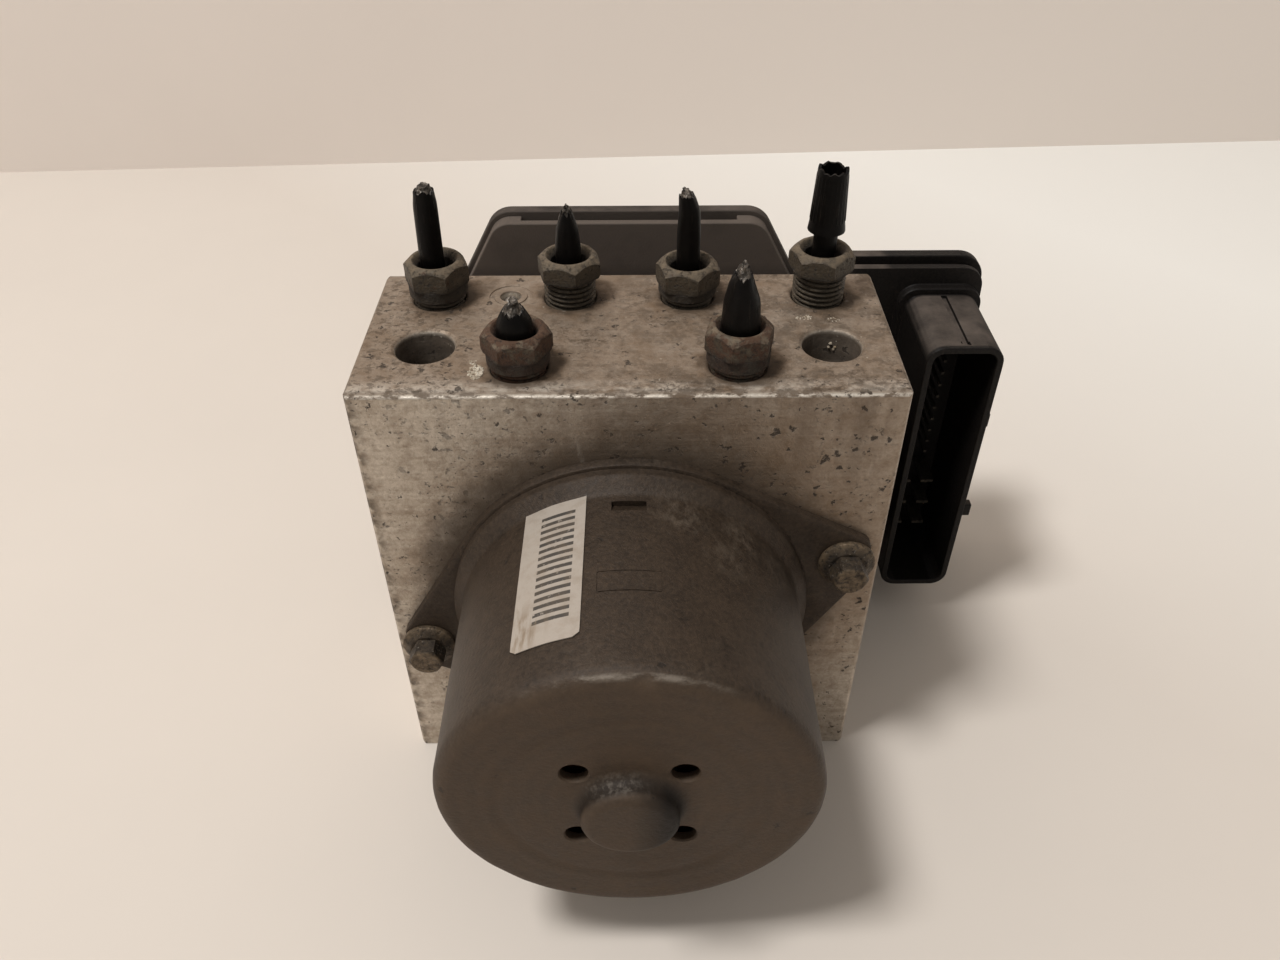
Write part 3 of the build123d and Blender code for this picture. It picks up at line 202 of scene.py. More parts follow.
def finish_surface(tree, shade, rough, metal=0.0, wear=None, relief=(), relief_mm=0.1, **sockets):
    """Ends a material with a Principled shader.

    Roughness and metallic are numbers, or pairs between which `wear` blends from clean to worn.
    The relief is masks and their shares of `relief_mm`, raised or, under zero, sunk.
    """
    values = {"Base Color": shade}
    for socket, level in (("Roughness", rough), ("Metallic", metal)):
        if isinstance(level, tuple):
            clean, worn = level
            span = {"Value": wear, "To Min": clean, "To Max": worn}
            level = add(tree, "ShaderNodeMapRange", span)
        values[socket] = level
    height = 0.0
    for mask, share in relief:
        raised = {0: mask, 1: share, 2: height}
        height = add(tree, "ShaderNodeMath", raised, operation="MULTIPLY_ADD")
    if relief:
        bump = {"Height": height, "Distance": relief_mm * MM}
        values["Normal"] = add(tree, "ShaderNodeBump", bump, out="Normal")
    values.update({key.replace("_", " "): value for key, value in sockets.items()})
    shader = add(tree, "ShaderNodeBsdfPrincipled", values)
    add(tree, "ShaderNodeOutputMaterial", {"Surface": shader})


def linked(name, data):
    """A new object in the scene."""
    piece = bpy.data.objects.new(name, data)
    bpy.context.scene.collection.objects.link(piece)
    return piece


@contextmanager
def reworked(mesh):
    """Opens a mesh for editing and writes the result back to it."""
    work = bmesh.new()
    work.from_mesh(mesh)
    yield work
    work.to_mesh(mesh)
    work.free()


def shaded(mesh, sharp_from=40.0):
    """The mesh shaded smooth, but for edges sharper than `sharp_from` degrees."""
    mesh.shade_smooth()
    mesh.set_sharp_from_angle(angle=math.radians(sharp_from))
    return mesh


def mesh_from(name, points, faces, materials, sharp_from=40.0):
    """A smooth-shaded mesh from points in millimetres, with outward normals."""
    mesh = bpy.data.meshes.new(name)
    mesh.from_pydata([Vector(point) * MM for point in points], [], faces)
    with reworked(mesh) as work:
        bmesh.ops.recalc_face_normals(work, faces=work.faces)
    for material in materials:
        mesh.materials.append(material)
    return shaded(mesh, sharp_from)


def closed_ends(mesh):
    """Closes the open ends of a tube and turns all its faces outwards."""
    with reworked(mesh) as work:
        rims = [edge for edge in work.edges if edge.is_boundary]
        bmesh.ops.holes_fill(work, edges=rims, sides=0)
        bmesh.ops.recalc_face_normals(work, faces=work.faces)
    return mesh


def flat_mesh(name, corners):
    """One flat face between corners given in metres."""
    mesh = bpy.data.meshes.new(name)
    mesh.from_pydata(corners, [], [tuple(range(len(corners)))])
    return mesh


def show(name, mesh, slot, *replaced):
    """Puts a finished mesh on the unit instead of the nodes it stands for."""
    piece = linked(name, mesh)
    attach(piece, BODY)
    if replaced:
        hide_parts(*replaced)


def baked(piece):
    """The piece's mesh with its modifiers worked in, which are then removed."""
    graph = bpy.context.evaluated_depsgraph_get()
    mesh = bpy.data.meshes.new_from_object(piece.evaluated_get(graph), depsgraph=graph)
    mesh.name = piece.name
    return mesh


def bevel_shares(work, sharp, width):
    """The share of the bevel that each sharp edge has room for beside its neighbours."""
    reach = 2.4 * width
    spots = []
    for edge in sharp:
        start, end = (vert.co for vert in edge.verts)
        steps = max(2, int((end - start).length / (0.4 * MM)) + 1)
        spots += [(start.lerp(end, (step + 0.5) / steps), edge) for step in range(steps)]
    finder = KDTree(len(spots))
    for index, (spot, _) in enumerate(spots):
        finder.insert(spot, index)
    finder.balance()
    room = {edge: reach for edge in sharp}
    for spot, edge in spots:
        along = (edge.verts[1].co - edge.verts[0].co).normalized()
        for _, index, distance in finder.find_range(spot, reach):
            other = spots[index][1]
            if other is edge or set(other.verts) & set(edge.verts):
                continue
            off = spots[index][0] - spot
            across = (off - along * off.dot(along)).length
            if across > 0.35 * distance:
                room[edge] = min(room[edge], across)
    return {edge: near / reach for edge, near in room.items()}


def folds(mesh):
    """Places where a bevel has turned a face over its neighbour."""
    work = bmesh.new()
    work.from_mesh(mesh)
    bmesh.ops.triangulate(work, faces=work.faces)
    spots = []
    for edge in work.edges:
        if len(edge.link_faces) == 2:
            one, other = edge.link_faces
            thin = min(one.calc_area(), other.calc_area()) < 1e-9
            if not thin and one.normal.dot(other.normal) < -0.9:
                spots.append(edge.verts[0].co.copy())
    work.free()
    return spots


def refinish(node, finish):
    """Gives a finish to a CAD node that is shown as it is."""
    for place in frame["nodes"][node].material_slots:
        place.material = finish


def welded(node, finish, even=None):
    """A copy of a CAD node's mesh with one finish, its triangles joined.

    Faces that meet within `even` degrees become one.
    """
    mesh = frame["nodes"][node].data.copy()
    mesh.materials.clear()
    mesh.materials.append(finish)
    with reworked(mesh) as work:
        bmesh.ops.remove_doubles(work, verts=work.verts, dist=WELD)
        if even:
            limit = math.radians(even)
            bmesh.ops.dissolve_limit(work, angle_limit=limit, verts=work.verts, edges=work.edges)
    return mesh


def dressed(node, name, finish, edge_mm, angle=35.0):
    """A copy of a CAD node as one welded mesh, with its sharp edges rounded by a small bevel.

    An edge with little room beside it gets a smaller bevel, and one that would fold gets none.
    """
    width = edge_mm * MM
    source = welded(node, finish, EVEN)
    piece = linked(name, source)
    work = bmesh.new()
    work.from_mesh(source)
    work.edges.ensure_lookup_table()
    limit = math.radians(angle)
    sharp = [edge for edge in work.edges if edge.is_manifold and edge.calc_face_angle() > limit]
    shares = {edge.index: share for edge, share in bevel_shares(work, sharp, width).items()}
    middles = {edge.index: [vert.co.copy() for vert in edge.verts] for edge in sharp}
    work.free()
    weights = source.attributes.new("bevel_weight_edge", "FLOAT", "EDGE").data
    bevel = piece.modifiers.new("edges", "BEVEL")
    bevel.width = width
    bevel.segments = 2
    bevel.limit_method = "WEIGHT"
    bevel.use_clamp_overlap = False
    bevel.harden_normals = True
    for _ in range(BEVEL_TRIES):
        for index, share in shares.items():
            weights[index].value = share
        source.update_tag()
        bpy.context.view_layer.update()
        result = baked(piece)
        spots = folds(result)
        if not spots:
            break
        for index, (start, end) in middles.items():
            along = end - start
            for spot in spots:
                share = min(1.0, max(0.0, (spot - start).dot(along) / along.length_squared))
                if (start + along * share - spot).length < 1.5 * width:
                    shares[index] = 0.0
    bpy.data.objects.remove(piece)
    return result


# ---- settings a user would change -------------------------------------------------------------
def colour(name, description, hex_colour):
    return FloatVectorProperty(
        name=name,
        description=description,
        subtype="COLOR",
        size=4,
        min=0.0,
        max=1.0,
        default=linear(hex_colour),
    )


def length(name, description, millimetres):
    return FloatProperty(
        name=name, description=description, unit="LENGTH", min=0.0, default=millimetres * MM
    )


class BlockSettings(bpy.types.PropertyGroup):
    metal: colour("Metal", "Clean milled aluminium", "#D6CCBE")
    dull: colour("Dull metal", "Aluminium under a thin grey-brown film", "#A99A88")
    # the film colour also paints shade over the whole top and towards the right of the front
    film: colour("Brown film", "Dried brake fluid and dust on the metal", "#6D563F")
    # this dark colour is dirt, and also painted shade round the flange and in the mounting holes
    # and painted shadows of the nuts
    grime_and_shade: colour("Grime", "Thick dirt along the flange and the edges", "#453729")
    pits: colour("Pits", "Dark dirt in the pits", "#30261D")
    bloom: colour("Bloom", "White aluminium oxide", "#CFC5B4")
    edge: length("Edge", "Width of the broken edges", 0.22)


class NutSettings(bpy.types.PropertyGroup):
    flats: length("Across flats", "Width of the hexagon between two flats", 11.0)
    chamfer: length("Chamfer", "Radius taken off the corners at the top", 1.45)
    pitch: length("Thread pitch", "Distance between two thread turns", 1.0)
    zinc: colour("Zinc", "Dull zinc plate on the flats", "#5E5344")
    dust: colour("Dust", "Dust on the upward faces", "#7E6D58")
    rust: colour("Rust", "Rust where the plate is gone", "#4A2F1D")
    # this dark colour is dirt, and also painted shade at the foot and in the bore of each nut
    grime_and_shade: colour("Grime", "Dirt in corners and between the threads", "#1E1711")


class PipeSettings(bpy.types.PropertyGroup):
    coat: colour("Coat", "Black polymer coat", "#090706")
    dust: colour("Dust", "Dust on the coat", "#3E342B")
    steel: colour("Bare steel", "Freshly sheared pipe end", "#B9AEA2")
    coat_thickness: length("Coat thickness", "Thickness of the polymer coat", 0.35)


class MotorSettings(bpy.types.PropertyGroup):
    coat: colour("Coat", "Dark brown coat on the can", "#382D23")
    worn: colour("Worn coat", "Coat rubbed thin on rims and shoulder", "#5E4D3D")
    steel: colour("Bare steel", "Steel where the coat is gone", "#9A8F82")
    dust: colour("Dust", "Pale dust and scuffs", "#7C6E5F")
    # this dark colour is dirt spots, and also painted shade on the hub of the can
    grime_and_shade: colour("Grime", "Dark spots and corners", "#16120F")
    bolt: colour("Bolt plate", "Plating of the bolts", "#74624C")
    # painted shade: the label's white is dimmed to a grey-beige
    label: colour("Label", "White label film", "#A59A8E")
    bars: colour("Bars", "Plain printed bars", "#2A2622")
    soil: colour("Soil", "Brown soil on the label", "#77634B")
    label_thickness: length("Label thickness", "Thickness of the film", 0.15)


class UnitSettings(bpy.types.PropertyGroup):
    plastic: colour("Plastic", "Black glass-filled polyester", "#0D0B0A")
    dust: colour("Dust", "Dust on the plastic", "#625850")
    edge: length("Edge", "Radius of the moulded edges", 0.3)


class StageSettings(bpy.types.PropertyGroup):
    floor: colour("Floor", "Pale floor", "#D7CDC2")
    # painted light: the floor turns to this lighter colour towards its far right corner
    painted_light_floor: colour("Far floor", "Lighter floor in the far right corner", "#ECE8E1")
    backdrop: colour("Backdrop", "Pale backdrop", "#EDE2D8")
    backdrop_place: length("Backdrop place", "Distance of the backdrop behind the unit", 325.0)
    key: FloatProperty(
        name="Key light", description="Power of the large lamp", unit="POWER", default=21.5
    )
    fill: FloatProperty(
        name="Fill", description="Strength of the even light all round", default=0.34
    )
    lens: FloatProperty(name="Lens", description="Focal length in millimetres", default=28.178)


class UnitPartsSettings(bpy.types.PropertyGroup):
    block: PointerProperty(type=BlockSettings)
    nut: PointerProperty(type=NutSettings)
    pipe: PointerProperty(type=PipeSettings)
    motor: PointerProperty(type=MotorSettings)
    unit: PointerProperty(type=UnitSettings)
    stage: PointerProperty(type=StageSettings)


# ---- patterns that the finishes share ----------------------------------------------------------
def zone(tree, *limits):
    """Mask that is 1 where every limit is met.

    A limit is a mask, or a value with the level at which it counts as 0 and as 1.
    """
    mask = None
    for limit in limits:
        if isinstance(limit, tuple):
            value, none, full = limit
            span = {"Value": value, "From Min": none, "From Max": full}
            limit = add(tree, "ShaderNodeMapRange", span)
        if mask is not None:
            limit = add(tree, "ShaderNodeMath", {0: mask, 1: limit}, operation="MULTIPLY")
        mask = limit
    return mask


def any_of(tree, *zones):
    """Mask of whichever is strongest of several masks, or tuples of limits."""
    mask = None
    for part in zones:
        if isinstance(part, tuple):
            part = zone(tree, *part)
        if mask is not None:
            part = add(tree, "ShaderNodeMath", {0: mask, 1: part}, operation="MAXIMUM")
        mask = part
    return mask


def layered(tree, base, *coats):
    """Colours laid over a base one after another; a coat is its mask, its strength, its colour."""
    shade = base
    for mask, strength, tint in coats:
        share = add(tree, "ShaderNodeMath", {0: mask, 1: strength}, operation="MULTIPLY")
        mixed = {0: share, 6: shade, 7: tint}
        shade = add(tree, "ShaderNodeMix", mixed, out=2, data_type="RGBA")
    return shade


def torn_place(tree, where, size, amount):
    """The place on the object, pushed about by a noise so that outlines come out torn."""
    cloud = {"Vector": where, "Scale": 1 / size, "Detail": 4.0}
    warp = add(tree, "ShaderNodeTexNoise", cloud, out="Color")
    warp = add(tree, "ShaderNodeVectorMath", {0: warp, 1: (0.5, 0.5, 0.5)}, operation="SUBTRACT")
    warp = add(tree, "ShaderNodeVectorMath", {0: warp, "Scale": amount}, operation="SCALE")
    return add(tree, "ShaderNodeVectorMath", {0: where, 1: warp})


def specks(tree, where, spacing, largest):
    """Mask of torn specks, one in each cell `spacing` mm wide, most far under `largest` mm."""
    torn = torn_place(tree, where, largest * 0.7, largest * 2.2)
    off = add(tree, "ShaderNodeTexVoronoi", {"Vector": torn, "Scale": 1 / spacing}, out="Distance")
    draw = add(tree, "ShaderNodeSeparateXYZ", {0: off.node.outputs["Color"]}, out="X")
    small = add(tree, "ShaderNodeMath", {0: draw, 1: 2.0}, operation="POWER")
    reach = add(tree, "ShaderNodeMath", {0: small, 1: largest / 2 / spacing}, operation="MULTIPLY")
    part = add(tree, "ShaderNodeMath", {0: off, 1: reach}, operation="DIVIDE")
    return zone(tree, (part, 1.15, 0.8))


# ---- finishes of the block, nuts and pipes ------------------------------------------------------
def milled_aluminium(block):
    """Extruded aluminium with milled faces, weathered in a wheel arch.

    Gives a dull warm grey with fine lines along the cutter's path, a brown film on top and round
    the motor that is partly painted shade, painted shade towards the right of the front, round the
    flange and inside the mounting holes, painted shadows beside the nuts, dark specks and stains,
    and brighter rubbed edges.
    """
    material, tree, where = new_finish("milled_aluminium")
    axes = add(tree, "ShaderNodeSeparateXYZ", {0: where}).node.outputs
    x, y, z = axes["X"], axes["Y"], axes["Z"]
    torn = torn_place(tree, where, 4.0, 7.0)
    top = zone(tree, (z, BLOCK_TOP - 0.6, BLOCK_TOP - 0.2))
    front = zone(tree, (y, BLOCK_LOW.y + 0.6, BLOCK_LOW.y + 0.2))

    tone = patches(tree, where, 14.0, 0.38, 0.7, 6.0)
    grain = patches(tree, where, 0.6, 0.35, 0.68, 4.0, rough=0.65)
    mottle = patches(tree, where, 2.2, 0.42, 0.66, 7.0, rough=0.7)
    # cutter lines along X, 0.4 mm apart, drawn twice as coarse so that they show
    lines = patches(tree, where, 0.8, 0.35, 0.7, 2.0, (0.02, 1.0, 1.0))
    streaks = patches(tree, where, 2.4, 0.45, 0.7, 4.0, (0.05, 1.0, 1.0))
    scratches = patches(tree, where, 0.9, 0.66, 0.72, 3.0, (0.35, 1.0, 0.06))

    # film: on the top in blotches and in runs down the front, and towards the right of the front as
    # painted shade
    brown = patches(tree, where, 8.0, 0.36, 0.64, 7.0, rough=0.68)
    on_top = zone(tree, top, brown)
    round_flange = ring_mask(tree, torn, (3.0, 0.0, AXIS_Z), 37.0, 54.0, (1, 0, 1))
    # painted shade: film that darkens the front face towards its right and above the motor
    right = zone(tree, (x, -15.0, 30.0), front, (z, 30.0, 60.0))
    run = patches(tree, where, 4.0, 0.45, 0.72, 6.0, (1.0, 1.0, 0.12))
    runs = zone(tree, run, (z, 70.0, BLOCK_TOP), (x, -40.0, -12.0), front)

    # dark round the flange and the nuts, down the left edge and inside the mounting holes: dirt,
    # with painted shade round the flange and inside the holes, and painted shadows of the nuts cast
    # to their right
    flange_dirt_and_shade = ring_mask(tree, torn, (0.0, 0.0, AXIS_Z), 35.5, 45.0, (1, 0, 1))
    ports = [ring_mask(tree, torn, (a + 0.6, b, 0.0), 5.8, 9.5) for a, b, *_ in NUTS.values()]
    ports = zone(tree, any_of(tree, *ports), top)
    # painted shadows of the nuts on the top, reaching further to their right, with dirt at their
    # feet
    feet = [ring_mask(tree, torn, (a + 0.8, b, 0.0), 5.4, 7.8) for a, b, *_ in NUTS.values()]
    feet = zone(tree, any_of(tree, *feet), top)
    ragged = patches(tree, where, 3.0, 0.45, 0.6)
    left_edge = zone(tree, (x, -46.0, -48.2), (y, BLOCK_LOW.y + 2.4, BLOCK_LOW.y + 0.6), ragged)
    # painted shade with dirt on the walls of the mounting holes
    shaded_bores = [ring_mask(tree, where, (a, MOUNT_Y, 0.0), 5.5, 5.8) for a in (-MOUNT_X, MOUNT_X)]
    shaded_bores = zone(tree, any_of(tree, *shaded_bores), (z, BLOCK_TOP - 0.5, BLOCK_TOP - 1.2))
    deep = zone(tree, shaded_bores, patches(tree, where, 2.0, 0.3, 0.6, 5.0, (0.2, 0.2, 1.0)))

    # dark dirt: torn specks up to 1.7 mm wide, pits in clusters, torn stains on the top
    cluster = patches(tree, where, 9.0, 0.44, 0.6, 4.0)
    fine = patches(tree, where, 0.9, 0.6, 0.66, 5.0, (0.7, 1.0, 1.1), 0.7)
    pitted = any_of(
        tree,
        (specks(tree, where, 2.9, 1.7), (x, -70.0, 10.0), (x, 48.4, 47.8), (top, 1.0, 0.0)),
        (specks(tree, where, 2.4, 1.3), top),
        (specks(tree, torn, 2.0, 0.7), cluster),
        (specks(tree, where, 1.9, 0.9), front),
        (cluster, fine),
    )
    stain = patches(tree, where, 1.7, 0.51, 0.57, 8.0, (0.8, 1.0, 1.0), 0.78)
    cloud = patches(tree, torn, 5.0, 0.46, 0.56, 8.0, rough=0.75)
    cloud = zone(tree, cloud, top, (x, -24.0, 12.0))
    bed = any_of(tree, patches(tree, where, 13.0, 0.46, 0.6, 3.0), zone(tree, (x, -20.0, -34.0)))
    stained = zone(tree, stain, bed, top)

    # rubbed metal: the broken edge along the top of the front and the strip behind it, with gaps
    slope = add(tree, "ShaderNodeMath", {0: z, 1: y}, operation="SUBTRACT")
    corner = BLOCK_TOP - BLOCK_LOW.y
    chamfer = zone(tree, (slope, corner - 1.3, corner - 1.1))
    nicks = patches(tree, where, 1.6, 0.6, 0.46, 6.0, (0.45, 1.0, 1.0), 0.7)
    gaps = patches(tree, where, 3.0, 0.62, 0.45, 6.0, (0.6, 1.0, 1.0), 0.68)
    strip = zone(tree, (y, BLOCK_LOW.y + 4.5, BLOCK_LOW.y + 1.5), top, gaps)
    clean = zone(tree, (pitted, 1.0, 0.0))
    edge_line = zone(tree, chamfer, (z, BLOCK_TOP - 0.5, BLOCK_TOP - 0.85), nicks, clean)
    dented = zone(tree, chamfer, (nicks, 0.7, 0.3))
    white = zone(tree, patches(tree, where, 1.2, 0.69, 0.73, 4.0), (tone, 0.3, 0.6))

    shade = layered(
        tree,
        block.metal,
        (tone, 0.5, block.dull),
        (streaks, 0.35, block.dull),
        # partly brown film, partly painted shade: the whole top darkened with film
        (top, 0.5, block.film),
        (mottle, 0.42, block.film),
        (grain, 0.28, block.film),
        (lines, 0.14, block.film),
        (on_top, 0.62, block.film),
        (round_flange, 0.5, block.film),
        (right, 0.5, block.film),
        (runs, 0.6, block.film),
        (ports, 0.65, block.film),
        (chamfer, 0.55, block.film),
        (strip, 0.45, block.metal),
        (flange_dirt_and_shade, 0.82, block.grime_and_shade),
        (feet, 0.8, block.grime_and_shade),
        (left_edge, 0.8, block.grime_and_shade),
        (shaded_bores, 0.85, block.grime_and_shade),
        (deep, 0.5, block.pits),
        (cloud, 0.5, block.grime_and_shade),
        (stained, 0.6, block.grime_and_shade),
        (scratches, 0.12, block.metal),
        (edge_line, 0.9, block.metal),
        (dented, 0.5, block.grime_and_shade),
        (pitted, 0.82, block.pits),
        (white, 0.5, block.bloom),
    )
    dull_edge = (chamfer, (edge_line, 1.0, 0.0))
    dirt = any_of(tree, on_top, flange_dirt_and_shade, pitted, ports, runs, shaded_bores, dull_edge)
    relief = [(lines, 0.12), (grain, 0.2), (mottle, 0.15), (pitted, -0.8)]
    finish_surface(tree, shade, (0.45, 0.78), (0.72, 0.25), dirt, relief, 0.15)
    return material


def plated_nut_steel(nut, name, rusted):
    """Turned steel with dull zinc plate: grey-olive flats, pale dust on the top, and dark at the
    foot and in the bore, partly dirt and partly painted shade.

    `rusted` is the share of the plate that has gone to brown rust.
    """
    material, tree, where = new_finish(name)
    crown, seam, foot = (
        add(tree, "ShaderNodeAttribute", attribute_name=mark, out="Fac") for mark in NUT_MARKS
    )
    dark = dimmed(nut.zinc, 0.45)
    tone = patches(tree, where, 2.2, 0.3, 0.68, 7.0, rough=0.68)
    grain = patches(tree, where, 0.5, 0.35, 0.65, 4.0)
    dusty = zone(tree, patches(tree, where, 1.4, 0.3, 0.62, 6.0), crown)
    start = 0.7 - 0.3 * rusted
    rust = patches(tree, where, 2.0, start, start + 0.13, 7.0, rough=0.7)
    flake = patches(tree, where, 0.8, 0.55, 0.63, 5.0, rough=0.65)
    line = zone(tree, seam, patches(tree, where, 1.0, 0.4, 0.55))
    shade = layered(
        tree,
        nut.zinc,
        (tone, 0.9, dark),
        (grain, 0.32, dark),
        (dusty, 0.55, nut.dust),
        (rust, 0.85, nut.rust),
        (line, 0.5, nut.grime_and_shade),
        (flake, 0.6, nut.grime_and_shade),
        # painted shade with dirt: the foot mark darkens the bore, the foot of the flats, the collar
        # and the thread root
        (foot, 0.8, nut.grime_and_shade),
    )
    worn = any_of(tree, rust, flake, foot, dusty)
    relief = [(grain, 0.8), (tone, 1.0), (flake, -0.8)]
    finish_surface(tree, shade, (0.5, 0.85), (0.35, 0.05), worn, relief, 0.08)
    return material


def black_pipe_coat(pipe):
    """Extruded polyamide coat: black and half glossy along the tube, dusty and scraped."""
    material, tree, where = new_finish("black_pipe_coat")
    scrape = patches(tree, where, 0.9, 0.6, 0.7, 4.0, (1.0, 1.0, 0.15))
    dust = patches(tree, where, 2.0, 0.52, 0.8, 6.0, rough=0.65)
    shade = layered(tree, pipe.coat, (dust, 0.1, pipe.dust), (scrape, 0.14, pipe.dust))
    relief = [(scrape, 1.0), (dust, 0.6)]
    finish_surface(tree, shade, (0.4, 0.7), 0.0, dust, relief, 0.06, Specular_IOR_Level=0.11)
    return material


def sheared_steel(pipe):
    """Steel pipe end torn by a cutter: bright facets, with painted shade in the folds between them.
    """
    material, tree, where = new_finish("sheared_steel")
    fold = patches(tree, where, 0.8, 0.42, 0.66, 4.0)
    soot = patches(tree, where, 1.6, 0.42, 0.58, 4.0)
    # painted shade: the coat's black in the hollows of the folds
    hollow_shade = zone(tree, (fold, 1.0, 0.0))
    shade = layered(tree, pipe.steel, (hollow_shade, 0.82, pipe.coat), (soot, 0.8, pipe.coat))
    finish_surface(tree, shade, 0.36, 0.8, None, [(fold, 1.0)], 0.15)
    return material


# ---- finishes of the motor and the control unit -----------------------------------------------
def coated_can_steel(motor):
    """Deep-drawn steel with a thin dark coat, rubbed and dusty.

    Gives a dark brown wall with a dull satin sheen, with soft pale scuffs on the crown, an end
    rim that is rubbed and carries a painted highlight along its top, painted shade and painted
    glints on the hub, and faint turning rings on the end face.
    """
    material, tree, where = new_finish("coated_can_steel")
    axes = add(tree, "ShaderNodeSeparateXYZ", {0: where}).node.outputs
    x, y, z = axes["X"], axes["Y"], axes["Z"]
    reach = reach_from(tree, where, (0.0, 0.0, AXIS_Z), (1, 0, 1))
    darker = dimmed(motor.coat, 0.42)

    tone = patches(tree, where, 6.0, 0.38, 0.64, 8.0, rough=0.72)
    grain = patches(tree, where, 0.8, 0.38, 0.66, 5.0, rough=0.72)
    thin = zone(tree, patches(tree, where, 4.0, 0.35, 0.7, 6.0), (y, -27.0, -24.4))

    # end face: paler in blotches, with faint rings 3 mm apart
    face = zone(tree, (y, CAN_END + 2.0, CAN_END + 0.4))
    wave = add(tree, "ShaderNodeMath", {0: reach, 1: 2.1}, operation="MULTIPLY")
    wave = add(tree, "ShaderNodeMath", {0: wave}, operation="SINE")
    pale = zone(tree, face, patches(tree, where, 6.0, 0.25, 0.7, 8.0, rough=0.7))
    rings = zone(tree, face, (wave, -1.0, 1.0), (reach, 8.0, 12.0))

    # painted shade on the hub: at its foot, and down its right side
    near_hub = zone(tree, (y, CAN_END + 1.0, CAN_END - 0.4), (reach, 10.5, 8.4))
    side = zone(tree, near_hub, (y, CAN_END - 3.6, CAN_END - 2.6))
    hub_shade = any_of(tree, (side, 0.75), (near_hub, (x, 0.0, 6.0)))
    # painted glints: bright specks on the upper left of the hub's side
    glint = patches(tree, where, 0.9, 0.48, 0.66, 5.0, rough=0.65)
    glints = zone(tree, side, glint, (z, AXIS_Z + 4.5, AXIS_Z + 6.5), (x, 4.0, 0.0))

    # rim rubbed to bare steel, with a painted highlight: only along the top of the end rim
    rim_y = add(tree, "ShaderNodeMath", {0: y, 1: CAN_END + 1.0}, operation="SUBTRACT")
    rim_y = add(tree, "ShaderNodeMath", {0: rim_y}, operation="ABSOLUTE")
    rub = patches(tree, where, 2.6, 0.44, 0.58, 7.0, (0.4, 1.0, 1.0), 0.65)
    rim = zone(tree, (rim_y, 0.6, 0.1), (reach, 30.6, 31.6), (z, 76.0, 80.0), rub)

    # dusty scuffs: soft on the crown right of the middle, drawn out round the can
    bed = [ring_mask(tree, where, *scuff, (1, 1, 1)) for scuff in SCUFFS]
    bed = any_of(tree, *bed, patches(tree, where, 12.0, 0.58, 0.8, 3.0))
    scuffs = patches(tree, where, 1.6, 0.44, 0.74, 7.0, (1.0, 0.6, 1.0), 0.72)
    scuffs = zone(tree, scuffs, bed, (z, 56.0, 70.0))
    spots = specks(tree, where, 5.0, 1.3)

    shade = layered(
        tree,
        motor.coat,
        (tone, 0.8, darker),
        (grain, 0.3, motor.worn),
        (thin, 0.06, motor.worn),
        (pale, 0.7, motor.worn),
        (rings, 0.12, motor.worn),
        (hub_shade, 0.9, motor.grime_and_shade),
        (glints, 0.22, motor.steel),
        (scuffs, 0.5, motor.dust),
        (spots, 0.6, motor.grime_and_shade),
        (rim, 0.52, motor.steel),
    )
    lit = any_of(tree, scuffs, thin, pale)
    relief = [(grain, 1.0), (scuffs, 0.8), (spots, -0.8)]
    finish_surface(tree, shade, (0.5, 0.68), 0.25, lit, relief, 0.05, Specular_IOR_Level=0.32)
    return material


def plated_bolt_steel(motor):
    """Cold-headed bolt steel with yellowed plate.

    Gives a beige end and washer, darker flats with small painted glints, and brown corners.
    """
    material, tree, where = new_finish("plated_bolt_steel")
    y = add(tree, "ShaderNodeSeparateXYZ", {0: where}, out="Y")
    brown = linear("#33291F")
    tone = patches(tree, where, 1.8, 0.35, 0.62, 7.0, rough=0.68)
    flake = patches(tree, where, 0.8, 0.53, 0.64, 5.0)
    flats = zone(tree, (y, FRONT - 3.0, FRONT - 3.6), (y, BOLT_END + 0.1, BOLT_END + 0.5))
    # painted glints: small bright spots on the flats
    glint = zone(tree, flats, patches(tree, where, 0.5, 0.64, 0.7, 3.0))
    shade = layered(
        tree,
        motor.bolt,
        (tone, 0.8, brown),
        (flats, 0.6, motor.grime_and_shade),
        (flake, 0.6, motor.grime_and_shade),
        (glint, 0.7, motor.steel),
    )
    relief = [(tone, 1.0), (flake, -1.0)]
    finish_surface(tree, shade, (0.4, 0.7), 0.4, tone, relief, 0.08)
    return material


